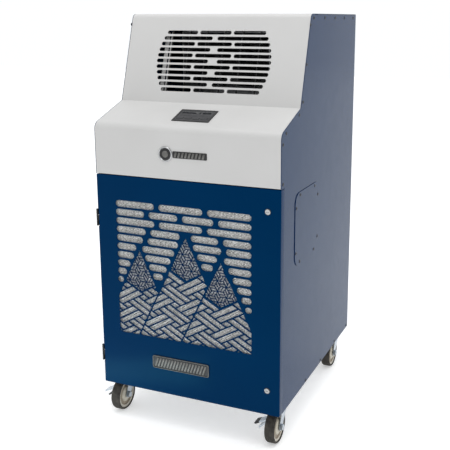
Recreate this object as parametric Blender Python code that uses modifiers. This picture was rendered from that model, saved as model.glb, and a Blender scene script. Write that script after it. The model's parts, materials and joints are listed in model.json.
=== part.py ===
"""Portable upright dehumidifier: a sheet-metal cabinet on four swivel casters.

Metres, +Z up, the front faces -Y, and the floor is at z = 0. The origin is the centre of the
footprint's box. Everything hangs on the empty "cabinet", which stands on the cabinet's own centre
line: the brake pedals reach further out on the left than anything does on the right.
"""

import math

import bmesh
import bpy
from mathutils import Matrix, Vector

# Cabinet
WIDTH = 0.600
DEPTH = 0.735
SIDE = WIDTH / 2
FRONT = -DEPTH / 2
REAR = DEPTH / 2
SKIRT_Z = 0.111  # lower edge of the door and the panels
SEAM_Z = 0.7945  # top of the door
TOP_Z = 1.2695
SHEET = 0.0015
SHELL = 0.0025  # moulded shroud
GAP = 0.0003

# Shroud profile, seen from the side: sharp corners as (y, z), rounded later
SHROUD_Z = SEAM_Z + 0.0025
BROW = (FRONT, 0.9487)
FOLD = (-0.2102, 1.0029)
CROWN = (-0.1242, TOP_Z)
SHROUD_BACK_Y = -0.092
BROW_R = 0.025
CROWN_R = 0.018
DECK_TILT = math.atan2(FOLD[1] - BROW[1], FOLD[0] - BROW[0])
FACE_TILT = math.atan2(CROWN[1] - FOLD[1], CROWN[0] - FOLD[0])
RETURN_DEPTH = 0.022
RETURN_X = SIDE - 0.0020  # outer side of the shroud's return flanges, inside the side panels

# Air outlet grille: rows of round-ended slots, two and three to a row
OUTLET_ROWS = 11
OUTLET_PITCH = 0.01805
OUTLET_MID = 0.131  # middle row above the fold, along the face
OUTLET_SLOT = 0.0121
OUTLET_WIDTH = 0.3834
OUTLET_TAPER = 0.137
OUTLET_BRIDGE = 0.0073
OUTLET_SPINE = 0.029
OUTLET_SPINE_TAPER = 0.0033

# Door and its perforated field
DOOR_DEPTH = 0.025
FIELD = (-0.235, 0.211, 0.2935, 0.7185)  # left, right, bottom, top
DOOR_ROWS = 11
ROW_PITCH = 0.02676  # at the field's left side
ROW_FAN = 0.0022  # the rows open out a little towards the right, per row
ROW_SLANT = 0.0060
ROW_TOP = 0.7085
ROW_SLOT = 0.0205
ROW_BRIDGE = 0.0150
# Where the upper rows are divided, besides at the peaks
ROW_SPLITS = {
    0: (-0.0955, 0.0645),
    1: (-0.1295, -0.0175, 0.0995),
    2: (-0.0955, 0.0630),
    3: (-0.1255, 0.1140),
    4: (-0.1360, 0.1240),
    5: (0.1150,),
}
FLANK = 2.04  # rise over run of a peak's sides
SHORTEST_SLOT = 0.0130
STRAND_X = 0.0192  # one strand of the weave, across and up
STRAND_Z = 0.01075
STRAND_BAR = 0.0045  # metal left between two openings
# Each peak: its tip, the bottom point of its cap, and the middle of one pair of rising strands
PEAKS = {
    "left": ((-0.158, 0.569), (-0.1558, 0.4366), (-0.2046, 0.4180)),
    "middle": ((-0.0002, 0.6252), (-0.0006, 0.4910), (0.0186, 0.4743)),
    "right": ((0.1138, 0.5613), (0.1125, 0.4240), (0.1317, 0.4073)),
}
# Metal beside each peak: left of it, right of it, and the least half width at its tip
PEAK_ROOM = {
    "left": (0.0080, 0.0080, 0.0100),
    "middle": (0.0110, 0.0110, 0.0180),
    "right": (0.0150, 0.0145, 0.0100),
}
CAP_SCALE = 0.7  # strand size in the caps against the strands below them
LEAST_OPENING = 1.2e-5  # square metres
SHORTEST_EDGE = 0.0004

# Hinges and latches
HINGE_AXIS = (-0.3035, -0.3655)
HINGE_Z = {"upper": 0.6565, "lower": 0.2105}
HINGE_LENGTH = 0.052
BARREL_R = 0.0032
PIN_R = 0.0014
LATCH_X = 0.261
LATCH_Z = {"upper": 0.7296, "lower": 0.1888}

# Filter behind the door
FILTER_BOX = (-0.2465, 0.2255, 0.2790, 0.7330)
FILTER_RIM = 0.009
FILTER_FRONT = FRONT + 0.0020
FILTER_DEPTH = 0.018

# Control panel, on the deck
PANEL_MID = 0.0815
PANEL_SIZE = (0.120, 0.075)
KEY_XS = (-0.039, -0.013, 0.013, 0.039)
KEY_SIZE = (0.020, 0.011)
KEY_ROW = -0.019
DISPLAY = (-0.018, 0.018, 0.060, 0.014)  # centre across, centre up, width, height

# Access cover on the right side
COVER = (-0.2525, -0.0300, 0.5330, 0.7575)
COVER_R = 0.035

# Casters
WHEEL_R = 0.051
TYRE_WIDTH = 0.032
TRAIL = 0.035
CASTER_X = 0.2665
CASTER_Y = {"front": -0.2815, "rear": 0.2800}
PEDAL_REACH = 0.0605  # from the wheel's middle plane to the pedal's tip
PEDAL_PIVOT = (-0.0240, 0.066)

# Inner parts
PAN_Z = 0.1305
SHELF_Z = 0.8000
COIL_X = 0.265
COIL_Z = (0.2070, 0.7860)
BLOWER = (0.100, 1.020)
SCROLL_R = (0.110, 0.195)
HOUSING_X = 0.150

GLAND_HOLE = (0.215, 0.215, 0.0095)  # x, z and radius
DRAIN_HOLE = (-0.215, 0.175, 0.0085)
REAR_REACH = 0.0180  # how far the gland and the drain stand out behind

CENTRE_SHIFT = (CASTER_X + PEDAL_REACH - SIDE - GAP - SHEET) / 2

TURN = 2 * math.pi
FACE_FRONT = (math.pi / 2, 0, 0)  # local x, y, z become X, Z, -Y
FACE_SIDE = (math.pi / 2, 0, math.pi / 2)  # local x, y, z become Y, Z, X


# ---------------------------------------------------------------- scene and materials

for old in list(bpy.data.objects):
    bpy.data.objects.remove(old)


def collection(name):
    made = bpy.data.collections.new(name)
    bpy.context.scene.collection.children.link(made)
    return made


PARTS = collection("dehumidifier")
CUTTERS = collection("cutters")


def paint(name, colour, roughness, metallic=0.0):
    made = bpy.data.materials.new(name)
    made.use_nodes = True
    shader = made.node_tree.nodes["Principled BSDF"]
    shader.inputs["Base Color"].default_value = (*colour, 1)
    shader.inputs["Roughness"].default_value = roughness
    shader.inputs["Metallic"].default_value = metallic
    made.diffuse_color = (*colour, 1)
    return made


BLUE = paint("blue_paint", (0.004, 0.045, 0.16), 0.32)
WHITE = paint("white_shell", (0.62, 0.62, 0.60), 0.45)
ALUMINIUM = paint("aluminium", (0.62, 0.62, 0.60), 0.35, 1.0)
CHROME = paint("chrome", (0.70, 0.71, 0.72), 0.15, 1.0)
BLACK_METAL = paint("black_metal", (0.012, 0.012, 0.014), 0.45, 0.6)
BLACK_PLASTIC = paint("black_plastic", (0.015, 0.015, 0.016), 0.40)
KEY_GREY = paint("key_grey", (0.075, 0.077, 0.082), 0.50)
WINDOW = paint("display_window", (0.01, 0.012, 0.016), 0.08)
ZINC = paint("zinc_plate", (0.52, 0.55, 0.58), 0.30, 1.0)
TYRE = paint("tyre_rubber", (0.045, 0.042, 0.038), 0.75)
HUB = paint("hub_plastic", (0.50, 0.47, 0.40), 0.45)
STEEL = paint("galvanised_steel", (0.45, 0.46, 0.47), 0.45, 1.0)
BLACK_PAINT = paint("black_paint", (0.02, 0.02, 0.022), 0.40)


# ---------------------------------------------------------------- shape helpers


def empty(name, parent=None, location=(0, 0, 0), rotation=(0, 0, 0)):
    made = bpy.data.objects.new(name, None)
    PARTS.objects.link(made)
    made.parent = parent
    made.location = location
    made.rotation_euler = rotation
    return made


def add(name, mesh, material, parent, location=(0, 0, 0), rotation=(0, 0, 0), smooth=None):
    """A part of the object; smooth is the angle, in degrees, above which an edge stays sharp."""
    made = bpy.data.objects.new(name, mesh)
    PARTS.objects.link(made)
    made.parent = parent
    made.location = location
    made.rotation_euler = rotation
    if material:
        mesh.materials.clear()
        mesh.materials.append(material)
    if smooth:
        mesh.shade_smooth()
        mesh.set_sharp_from_angle(angle=math.radians(smooth))
    return made


def tool(mesh, parent, location=(0, 0, 0), rotation=(0, 0, 0)):
    """A shape that cuts, or is joined to, a part."""
    made = bpy.data.objects.new("cutter", mesh)
    CUTTERS.objects.link(made)
    made.parent = parent
    made.location = location
    made.rotation_euler = rotation
    made.hide_render = True
    made.display_type = "WIRE"
    return made


def combine(target, other, operation):
    step = target.modifiers.new(operation.lower(), "BOOLEAN")
    step.operation = operation
    step.object = other
    step.solver = "EXACT"


def cut(target, mesh, parent, location=(0, 0, 0), rotation=(0, 0, 0)):
    combine(target, tool(mesh, parent, location, rotation), "DIFFERENCE")


def join(target, mesh, parent, location=(0, 0, 0), rotation=(0, 0, 0)):
    combine(target, tool(mesh, parent, location, rotation), "UNION")


def box_mesh(low, high, bevel=0.0):
    low, high = Vector(low), Vector(high)
    made = bmesh.new()
    bmesh.ops.create_cube(made, size=1)
    bmesh.ops.scale(made, vec=high - low, verts=made.verts)
    bmesh.ops.translate(made, vec=(low + high) / 2, verts=made.verts)
    if bevel:
        bmesh.ops.bevel(made, geom=made.edges[:], offset=bevel, segments=2, profile=0.5, affect="EDGES")
    mesh = bpy.data.meshes.new("box")
    made.to_mesh(mesh)
    made.free()
    return mesh


def rod_mesh(radius, start, end, sides=16, tip=None):
    """A straight rod or cone between two points."""
    start, end = Vector(start), Vector(end)
    made = bmesh.new()
    bmesh.ops.create_cone(
        made,
        cap_ends=True,
        segments=sides,
        radius1=radius,
        radius2=radius if tip is None else tip,
        depth=(end - start).length,
    )
    turn = (end - start).to_track_quat("Z", "Y").to_matrix()
    bmesh.ops.rotate(made, matrix=turn, verts=made.verts)
    bmesh.ops.translate(made, vec=(start + end) / 2, verts=made.verts)
    mesh = bpy.data.meshes.new("rod")
    made.to_mesh(mesh)
    made.free()
    return mesh


def plate_mesh(outlines, low, high):
    """A flat plate from closed outlines in x and y, outermost first, between two local heights."""
    curve = bpy.data.curves.new("plate", "CURVE")
    curve.dimensions = "2D"
    curve.fill_mode = "BOTH"
    curve.extrude = (high - low) / 2
    for outline in outlines:
        spline = curve.splines.new("POLY")
        spline.points.add(len(outline) - 1)
        for point, (x, y) in zip(spline.points, outline):
            point.co = (x, y, 0, 1)
        spline.use_cyclic_u = True
    source = bpy.data.objects.new("plate", curve)
    bpy.context.scene.collection.objects.link(source)
    bpy.context.view_layer.update()
    mesh = bpy.data.meshes.new_from_object(source.evaluated_get(bpy.context.evaluated_depsgraph_get()))
    bpy.data.objects.remove(source)
    made = bmesh.new()
    made.from_mesh(mesh)
    bmesh.ops.remove_doubles(made, verts=made.verts, dist=1e-6)
    bmesh.ops.translate(made, vec=(0, 0, (low + high) / 2), verts=made.verts)
    bmesh.ops.recalc_face_normals(made, faces=made.faces)
    made.to_mesh(mesh)
    made.free()
    return mesh


def turned_mesh(profile, steps):
    """A closed profile of (radius, height) points turned about the local Z axis."""
    mesh = bpy.data.meshes.new("turned")
    count = len(profile)
    mesh.from_pydata(
        [(radius, 0, height) for radius, height in profile],
        [(i, (i + 1) % count) for i in range(count)],
        [],
    )
    source = bpy.data.objects.new("turned", mesh)
    bpy.context.scene.collection.objects.link(source)
    screw = source.modifiers.new("turn", "SCREW")
    screw.steps = steps
    screw.render_steps = steps
    screw.use_merge_vertices = True
    screw.merge_threshold = 0.00001
    bpy.context.view_layer.update()
    done = bpy.data.meshes.new_from_object(source.evaluated_get(bpy.context.evaluated_depsgraph_get()))
    bpy.data.objects.remove(source)
    made = bmesh.new()
    made.from_mesh(done)
    bmesh.ops.remove_doubles(made, verts=made.verts, dist=1e-6)
    bmesh.ops.recalc_face_normals(made, faces=made.faces)
    made.to_mesh(done)
    made.free()
    return done


def merged(meshes):
    """Several separate shapes as one mesh, for use as one cutter."""
    made = bmesh.new()
    for mesh in meshes:
        made.from_mesh(mesh)
    mesh = bpy.data.meshes.new("merged")
    made.to_mesh(mesh)
    made.free()
    return mesh


def rectangle(left, right, bottom, top, radius=0.0, steps=4):
    """A rectangle's outline, with its corners rounded where a radius is given."""
    if not radius:
        return [(left, bottom), (right, bottom), (right, top), (left, top)]
    corners = [
        (right - radius, bottom + radius, -90),
        (right - radius, top - radius, 0),
        (left + radius, top - radius, 90),
        (left + radius, bottom + radius, 180),
    ]
    points = []
    for x, y, first in corners:
        for i in range(steps + 1):
            angle = math.radians(first + 90 * i / steps)
            points.append((x + radius * math.cos(angle), y + radius * math.sin(angle)))
    return points


def slot(left, right, middle, height, steps=4):
    """A round-ended slot's outline."""
    radius = height / 2
    points = []
    for centre, first in ((right - radius, -90), (left + radius, 90)):
        for i in range(2 * steps + 1):
            angle = math.radians(first + 90 * i / steps)
            points.append((centre + radius * math.cos(angle), middle + radius * math.sin(angle)))
    return points


def circle(x, y, radius, sides=20):
    return [
        (x + radius * math.cos(TURN * i / sides), y + radius * math.sin(TURN * i / sides))
        for i in range(sides)
    ]


def offset_path(points, distance):
    """An open path moved to its left-hand side by a distance, with its corners kept sharp."""
    lines = []
    for a, b in zip(points, points[1:]):
        a, b = Vector(a), Vector(b)
        along = (b - a).normalized()
        shift = Vector((-along.y, along.x)) * distance
        lines.append((a + shift, b + shift))
    moved = [lines[0][0]]
    for (a, b), (c, d) in zip(lines, lines[1:]):
        first, second = b - a, d - c
        t = (c - a).cross(second) / first.cross(second)
        moved.append(a + first * t)
    moved.append(lines[-1][1])
    return [tuple(point) for point in moved]


def round_path(points, radii, steps=5):
    """An open path with an arc at each inner corner that has a radius."""
    path = [points[0]]
    for before, corner, after, radius in zip(points, points[1:], points[2:], radii):
        if radius <= 0:
            path.append(corner)
            continue
        corner = Vector(corner)
        back = (Vector(before) - corner).normalized()
        ahead = (Vector(after) - corner).normalized()
        half = back.angle(ahead) / 2
        centre = corner + (back + ahead).normalized() * radius / math.sin(half)
        start = corner + back * radius / math.tan(half) - centre
        sweep = start.angle_signed(corner + ahead * radius / math.tan(half) - centre)
        for i in range(steps + 1):
            angle = -sweep * i / steps
            turned = Vector(
                (
                    start.x * math.cos(angle) - start.y * math.sin(angle),
                    start.x * math.sin(angle) + start.y * math.cos(angle),
                )
            )
            path.append(tuple(centre + turned))
    path.append(points[-1])
    return path


# ---------------------------------------------------------------- perforation patterns


def shroud_path(inset, low=SHROUD_Z, back=SHROUD_BACK_Y):
    """The shroud's side profile, moved inwards by an inset."""
    sharp = [(FRONT, low), BROW, FOLD, CROWN, (back, TOP_Z)]
    moved = offset_path(sharp, -inset)
    return round_path(moved, (BROW_R - inset, 0, CROWN_R - inset))


def outlet_slots():
    """The outlet's slots in the upper face's own plane, as (left, right, middle height)."""
    found = []
    for row in range(OUTLET_ROWS):
        from_middle = row - OUTLET_ROWS // 2
        half = OUTLET_WIDTH / 2 * (1 - OUTLET_TAPER * (from_middle / (OUTLET_ROWS // 2)) ** 2)
        middle = OUTLET_MID + OUTLET_PITCH * from_middle
        if row % 2:
            spine = OUTLET_SPINE - OUTLET_SPINE_TAPER * abs(from_middle)
            found += [(-half, -spine / 2, middle), (spine / 2, half, middle)]
        else:
            length = (2 * half - 2 * OUTLET_BRIDGE) / 3
            for i in range(3):
                left = -half + i * (length + OUTLET_BRIDGE)
                found.append((left, left + length, middle))
    return found


def door_rows():
    """Round-ended slots of the door's upper field, kept clear of the three peaks."""
    left, right = FIELD[:2]
    found = []
    for row in range(DOOR_ROWS):
        solid = []
        for name, (tip, _, _) in PEAKS.items():
            half = (tip[1] - row_height(row, tip[0])) / FLANK
            before, after, least = PEAK_ROOM[name]
            if half > -0.006:
                solid.append((tip[0] - max(half + before, least), tip[0] + max(half + after, least)))
        solid += [(x - ROW_BRIDGE / 2, x + ROW_BRIDGE / 2) for x in ROW_SPLITS.get(row, ())]
        start = left
        for low, high in sorted(solid) + [(right, right)]:
            if low - start >= SHORTEST_SLOT:
                found.append((row, start, low))
            start = max(start, high)
    return found


def row_height(row, x):
    return ROW_TOP - ROW_PITCH * row - (ROW_SLANT + ROW_FAN * row) * (x - FIELD[0])


def row_slot(row, left, right, steps):
    """One slot of the door's rows, along its row's slant."""
    slant = math.atan(-(ROW_SLANT + ROW_FAN * row))
    middle = (left + right) / 2
    height = row_height(row, middle)
    half = max((right - left) / 2, ROW_SLOT / 2 + 0.0001)
    level = slot(-half, half, 0, min(ROW_SLOT, right - left), steps)
    cosine, sine = math.cos(slant), math.sin(slant)
    return [(middle + x * cosine - y * sine, height + x * sine + y * cosine) for x, y in level]


def tidy(polygon):
    """A polygon without its shortest edges."""
    return [
        point
        for point, following in zip(polygon, polygon[1:] + polygon[:1])
        if math.dist(point, following) > SHORTEST_EDGE
    ]


def clip(polygon, point, normal):
    """The part of a convex polygon on the side of a line that its normal points to."""
    kept = []
    for (ax, ay), (bx, by) in zip(polygon, polygon[1:] + polygon[:1]):
        a = (ax - point[0]) * normal[0] + (ay - point[1]) * normal[1]
        b = (bx - point[0]) * normal[0] + (by - point[1]) * normal[1]
        if a >= 0:
            kept.append((ax, ay))
        if (a >= 0) != (b >= 0):
            t = a / (a - b)
            kept.append((ax + (bx - ax) * t, ay + (by - ay) * t))
    return kept


def area(polygon):
    total = 0.0
    for (ax, ay), (bx, by) in zip(polygon, polygon[1:] + polygon[:1]):
        total += ax * by - bx * ay
    return abs(total) / 2


def strands(scale):
    """One repeat of a double-strand plain weave: openings as ranges along its two directions."""
    trim = STRAND_BAR * min(1.0, 1.35 * scale) / 2
    across = 2 * STRAND_X * STRAND_Z / math.hypot(STRAND_X, STRAND_Z) * scale
    edge = trim / across
    rising = [(-2 + edge, 2 - edge, low + edge, low + 1 - edge) for low in (-1, 0)]
    falling = [(3 + low + edge, 4 + low - edge, -2 + edge, 2 - edge) for low in (-1, 0)]
    holes = [(x + edge, x + 1 - edge, y + edge, y + 1 - edge) for x, y in ((1, 1), (1, -2))]
    return rising + falling + holes


def weave(anchor, scale, keep):
    """Openings of a weave about an anchor, as polygons that the function keep has clipped."""
    found = []
    reach = int(6 / scale)
    for i in range(-reach, reach + 1):
        for j in range(-reach, reach + 1):
            if (i + j) % 2:
                continue
            for a0, a1, b0, b1 in strands(scale):
                corners = []
                for a, b in ((a0, b0), (a0, b1), (a1, b1), (a1, b0)):
                    a, b = (a + 3 * i) * scale, (b + 3 * j) * scale
                    corners.append(
                        (anchor[0] + (a + b) * STRAND_X, anchor[1] + (a - b) * STRAND_Z)
                    )
                opening = tidy(keep(corners))
                if len(opening) > 2 and area(opening) > LEAST_OPENING:
                    found.append(opening)
    return found


def door_weave():
    """Openings inside the three peaks: fine in each cap, coarse below it."""
    left, right, bottom, _ = FIELD
    names = list(PEAKS)
    found = []
    for index, name in enumerate(names):
        tip, cap, anchor = PEAKS[name]

        def inside(polygon, tip=tip, index=index):
            polygon = clip(polygon, tip, (FLANK, -1))
            polygon = clip(polygon, tip, (-FLANK, -1))
            polygon = clip(polygon, (left, 0), (1, 0))
            polygon = clip(polygon, (right, 0), (-1, 0))
            polygon = clip(polygon, (0, bottom), (0, 1))
            if index + 1 < len(names):
                following = PEAKS[names[index + 1]][0]
                slant = STRAND_BAR * math.hypot(1, FLANK) / FLANK
                polygon = clip(polygon, (following[0] - slant, following[1]), (-FLANK, 1))
            return polygon

        def below(polygon, cap=cap, inside=inside):
            """Outside the notch that the cap's lower point makes."""
            polygon = inside(polygon)
            origin = (cap[0], cap[1] - 0.006)
            under_left = clip(polygon, origin, (-STRAND_Z, -STRAND_X))
            under_right = clip(polygon, origin, (STRAND_Z, -STRAND_X))
            return max((under_left, under_right), key=lambda p: area(p) if len(p) > 2 else 0)

        def above(polygon, cap=cap, inside=inside):
            polygon = clip(inside(polygon), cap, (STRAND_Z, STRAND_X))
            return clip(polygon, cap, (-STRAND_Z, STRAND_X))

        found += weave(anchor, 1.0, below)
        found += weave(cap, CAP_SCALE, above)
    return found


# ---------------------------------------------------------------- frames that parts hang on

CABINET = empty("cabinet", location=(CENTRE_SHIFT, 0, 0))
DECK = empty("deck", CABINET, (0, *BROW), (DECK_TILT, 0, 0))  # local z is the deck's normal
FACE = empty("outlet_face", CABINET, (0, *FOLD), (FACE_TILT, 0, 0))


# ---------------------------------------------------------------- casing


def base_pan():
    """Folded floor pan that carries the compressor and takes the caster plates underneath."""
    edge_x = SIDE - 0.0020
    low = (-edge_x, -0.3400, PAN_Z)
    high = (edge_x, 0.3635, PAN_Z + 0.028)
    pan = add("base_pan", box_mesh(low, high), STEEL, CABINET)
    inner_low = (low[0] + 0.002, low[1] + 0.002, PAN_Z + 0.0028)
    cut(pan, box_mesh(inner_low, (high[0] - 0.002, high[1] - 0.002, high[2] + 0.01)), CABINET)


def side_panel(name, sign):
    """Flat side sheet with folded front and rear edges; its front follows the shroud's profile."""
    inset = SHELL + GAP
    top = shroud_path(0, low=SEAM_Z + 0.001)
    door_back = FRONT + DOOR_DEPTH + 0.0005
    outline = [(REAR, SKIRT_Z), (REAR, TOP_Z - inset), (SHROUD_BACK_Y, TOP_Z - inset)]
    outline += list(reversed(top))
    outline += [(door_back, SEAM_Z + 0.001), (door_back, SKIRT_Z)]
    inner, outer = sorted((sign * (SIDE - SHEET), sign * SIDE))
    panel = add(name, plate_mesh([outline], inner, outer), BLUE, CABINET, rotation=FACE_SIDE)
    flange = sorted((sign * 0.2845, sign * (SIDE - SHEET / 2)))
    front_fold = ((flange[0], door_back, 0.1600), (flange[1], door_back + SHEET, SEAM_Z - 0.004))
    rear_fold = ((flange[0], REAR - 0.0035, 0.1150), (flange[1], REAR - 0.0020, TOP_Z - 0.030))
    join(panel, box_mesh(*front_fold), CABINET)
    join(panel, box_mesh(*rear_fold), CABINET)
    if sign > 0:
        y0, y1, z0, z1 = COVER
        hatch = rectangle(y0 + 0.026, y1 - 0.026, z0 + 0.026, z1 - 0.026, 0.012)
        cut(panel, plate_mesh([hatch], SIDE - 0.01, SIDE + 0.01), CABINET, rotation=FACE_SIDE)


def access_cover():
    outline = rectangle(*COVER, COVER_R, 6)
    mesh = plate_mesh([outline], SIDE + GAP, SIDE + GAP + SHEET)
    add("right_access_cover", mesh, BLUE, CABINET, rotation=FACE_SIDE)


def rear_panel():
    edge = SIDE - 0.0018
    outline = rectangle(-edge, edge, SKIRT_Z, TOP_Z - 0.0018)
    slots = [
        slot(x - 0.075, x + 0.075, 0.270 + 0.024 * row, 0.008)
        for row in range(7)
        for x in (-0.125, 0.125)
    ]
    holes = [circle(x, z, radius + GAP, 16) for x, z, radius in (GLAND_HOLE, DRAIN_HOLE)]
    mesh = plate_mesh([outline, *slots, *holes], -REAR, -REAR + SHEET)
    add("rear_panel", mesh, BLUE, CABINET, rotation=FACE_FRONT)


def top_panel():
    front = SHROUD_BACK_Y + GAP
    panel = add(
        "top_panel", box_mesh((-SIDE, front, TOP_Z - SHEET), (SIDE, REAR, TOP_Z)), BLUE, CABINET
    )
    for sign in (-1, 1):
        near, far = sorted((sign * RETURN_X, sign * (RETURN_X - SHEET)))
        join(panel, box_mesh((near, -0.060, TOP_Z - 0.022), (far, 0.355, TOP_Z - SHEET / 2)), CABINET)


def upper_shroud():
    """Moulded front: vertical brow, sloping deck and leaning outlet face, with return flanges."""
    block = shroud_path(0) + list(reversed(shroud_path(RETURN_DEPTH)))
    sides = plate_mesh([block], -RETURN_X, RETURN_X)
    shroud = add("upper_shroud", sides, WHITE, CABINET, rotation=FACE_SIDE, smooth=35)
    inner_x = RETURN_X - 0.002
    ends = {"low": SHROUD_Z + 0.0024, "back": SHROUD_BACK_Y + 0.01}
    room = shroud_path(SHELL, **ends) + list(reversed(shroud_path(RETURN_DEPTH + 0.01, **ends)))
    cut(shroud, plate_mesh([room], -inner_x, inner_x), CABINET, rotation=FACE_SIDE)
    slots = [slot(left, right, middle, OUTLET_SLOT, 4) for left, right, middle in outlet_slots()]
    cut(shroud, plate_mesh(slots, -0.008, 0.008), FACE)
    half_x = PANEL_SIZE[0] / 2 - 0.003
    half_y = PANEL_SIZE[1] / 2 - 0.003
    window = rectangle(-half_x, half_x, PANEL_MID - half_y, PANEL_MID + half_y)
    cut(shroud, plate_mesh([window], -0.010, 0.010), DECK)


def outlet_guard():
    """Upright vanes right behind the outlet slots."""
    outline = rectangle(-0.2095, 0.2095, 0.024, 0.240)
    pitch = 0.0588
    openings = [
        rectangle(pitch * (i - 0.5) + 0.0012, pitch * (i + 0.5) - 0.0012, 0.030, 0.234)
        for i in range(-3, 4)
    ]
    mesh = plate_mesh([outline, *openings], -SHELL - GAP - 0.006, -SHELL - GAP)
    add("outlet_guard", mesh, BLACK_METAL, FACE)


# ---------------------------------------------------------------- door


def notch(z):
    """Room in the door's left edge for a hinge."""
    half = HINGE_LENGTH / 2 + 0.001
    return box_mesh((-SIDE - 0.01, FRONT - 0.01, z - half), (-SIDE + 0.0035, FRONT + 0.0095, z + half))


def door_panel():
    """Pan door: perforated front sheet with a folded rim."""
    left, right, bottom, top = -SIDE, SIDE, SKIRT_Z, SEAM_Z
    blank = plate_mesh([rectangle(left, right, bottom, top, 0.002, 2)], -FRONT - DOOR_DEPTH, -FRONT)
    door = add("door_panel", blank, BLUE, CABINET, rotation=FACE_FRONT)
    hollow_low = (left + SHEET, FRONT + SHEET, bottom + SHEET)
    cut(door, box_mesh(hollow_low, (right - SHEET, FRONT + 0.1, top - SHEET)), CABINET)
    openings = [row_slot(*place, 3) for place in door_rows()] + door_weave()
    openings += [circle(LATCH_X, z, 0.0070, 16) for z in LATCH_Z.values()]
    cut(door, plate_mesh(openings, -FRONT - 0.004, -FRONT + 0.002), CABINET, rotation=FACE_FRONT)
    for z in HINGE_Z.values():
        cut(door, notch(z), CABINET)


def filter_parts():
    left, right, bottom, top = FILTER_BOX
    rim = FILTER_RIM
    outlines = [
        rectangle(left, right, bottom, top, 0.004, 2),
        rectangle(left + rim, right - rim, bottom + rim, top - rim),
    ]
    back = -FILTER_FRONT - FILTER_DEPTH
    frame = plate_mesh(outlines, back, -FILTER_FRONT)
    add("filter_frame", frame, ALUMINIUM, CABINET, rotation=FACE_FRONT)
    inset = rim + GAP
    low = (left + inset, FILTER_FRONT + 0.001, bottom + inset)
    high = (right - inset, FILTER_FRONT + FILTER_DEPTH - 0.001, top - inset)
    add("filter_mesh", box_mesh(low, high), ALUMINIUM, CABINET)


def hinge(name, z):
    """Butt hinge at the door's front left corner: two fixed knuckles, one on the door, one pin."""
    x, y = HINGE_AXIS
    length = HINGE_LENGTH
    third = length / 3
    for leaf, low, high in (("frame", 0, length), ("door", third, 2 * third)):
        bottom, top = z - length / 2 + low, z - length / 2 + high
        if leaf == "door":
            bottom, top = bottom + GAP, top - GAP
        barrel = rod_mesh(BARREL_R, (x, y, bottom), (x, y, top), 16)
        made = add(f"hinge_{name}_{leaf}_leaf", barrel, BLACK_METAL, CABINET, smooth=40)
        if leaf == "frame":
            plate = box_mesh((-SIDE - 0.0018, y, bottom), (-SIDE - GAP, -0.318, top))
        else:
            inner = FRONT + SHEET + GAP
            plate = box_mesh((x, inner, bottom), (-0.276, inner + 0.0013, top))
        join(made, plate, CABINET)
        if leaf == "frame":
            gap_low, gap_high = z - third / 2 - GAP, z + third / 2 + GAP
            room = box_mesh((x - 0.006, y - 0.006, gap_low), (-SIDE + 0.001, y + 0.008, gap_high))
            cut(made, room, CABINET)
        cut(made, rod_mesh(PIN_R + GAP, (x, y, bottom - 0.01), (x, y, top + 0.01), 12), CABINET)
    pin = turned_mesh(
        [
            (0.0001, -length / 2 - 0.0008),
            (PIN_R, -length / 2 - 0.0008),
            (PIN_R, length / 2 + GAP),
            (0.0028, length / 2 + GAP),
            (0.0028, length / 2 + 0.0015),
            (0.0001, length / 2 + 0.0015),
        ],
        12,
    )
    add(f"hinge_{name}_pin", pin, BLACK_METAL, CABINET, (x, y, z), smooth=40)


def latch(name, z):
    """Quarter-turn latch: a slotted head in front, a shank through the door and a cam behind."""
    profile = [
        (0.0001, 0.0032),
        (0.0068, 0.0032),
        (0.0082, 0.0022),
        (0.0082, GAP),
        (0.0064, GAP),
        (0.0064, -0.0315),
        (0.0001, -0.0315),
    ]
    made = add(
        f"latch_{name}",
        turned_mesh(profile, 20),
        CHROME,
        CABINET,
        (LATCH_X, FRONT, z),
        FACE_FRONT,
        smooth=35,
    )
    join(made, box_mesh((-0.006, -0.028, -0.0315), (0.006, 0.006, -0.0290)), made)
    cut(made, box_mesh((-0.0045, -0.0009, 0.0018), (0.0045, 0.0009, 0.0050)), made)


# ---------------------------------------------------------------- controls and badges


def controls():
    half_x, half_y = PANEL_SIZE[0] / 2, PANEL_SIZE[1] / 2
    mid = PANEL_MID
    flange = box_mesh((-half_x, mid - half_y, GAP), (half_x, mid + half_y, 0.0025))
    bezel = add("control_bezel", flange, BLACK_PLASTIC, DECK)
    body_x, body_y = half_x - 0.0035, half_y - 0.0035
    join(bezel, box_mesh((-body_x, mid - body_y, -0.009), (body_x, mid + body_y, 0.001)), DECK)
    tray_x, tray_y = half_x - 0.006, half_y - 0.006
    cut(bezel, box_mesh((-tray_x, mid - tray_y, 0.0016), (tray_x, mid + tray_y, 0.006)), DECK)
    x, y, wide, high = DISPLAY
    low = (x - wide / 2, mid + y - high / 2, -0.002)
    window = box_mesh(low, (x + wide / 2, mid + y + high / 2, 0.0019), 0.0003)
    add("display_window", window, WINDOW, DECK)
    room = 2 * GAP
    openings = [rectangle(x - wide / 2 - room, x + wide / 2 + room, y - high / 2 - room, y + high / 2 + room)]
    key_x, key_y = KEY_SIZE[0] / 2, KEY_SIZE[1] / 2
    for x in KEY_XS:
        openings.append(
            rectangle(x - key_x - room, x + key_x + room, KEY_ROW - key_y - room, KEY_ROW + key_y + room)
        )
    cut(bezel, plate_mesh(openings, -0.02, 0.02), DECK, (0, mid, 0))
    for i, x in enumerate(KEY_XS, 1):
        low = (x - key_x, mid + KEY_ROW - key_y, -0.006)
        key = box_mesh(low, (x + key_x, mid + KEY_ROW + key_y, 0.0028), 0.0005)
        add(f"key_{i}", key, KEY_GREY, DECK)


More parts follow.
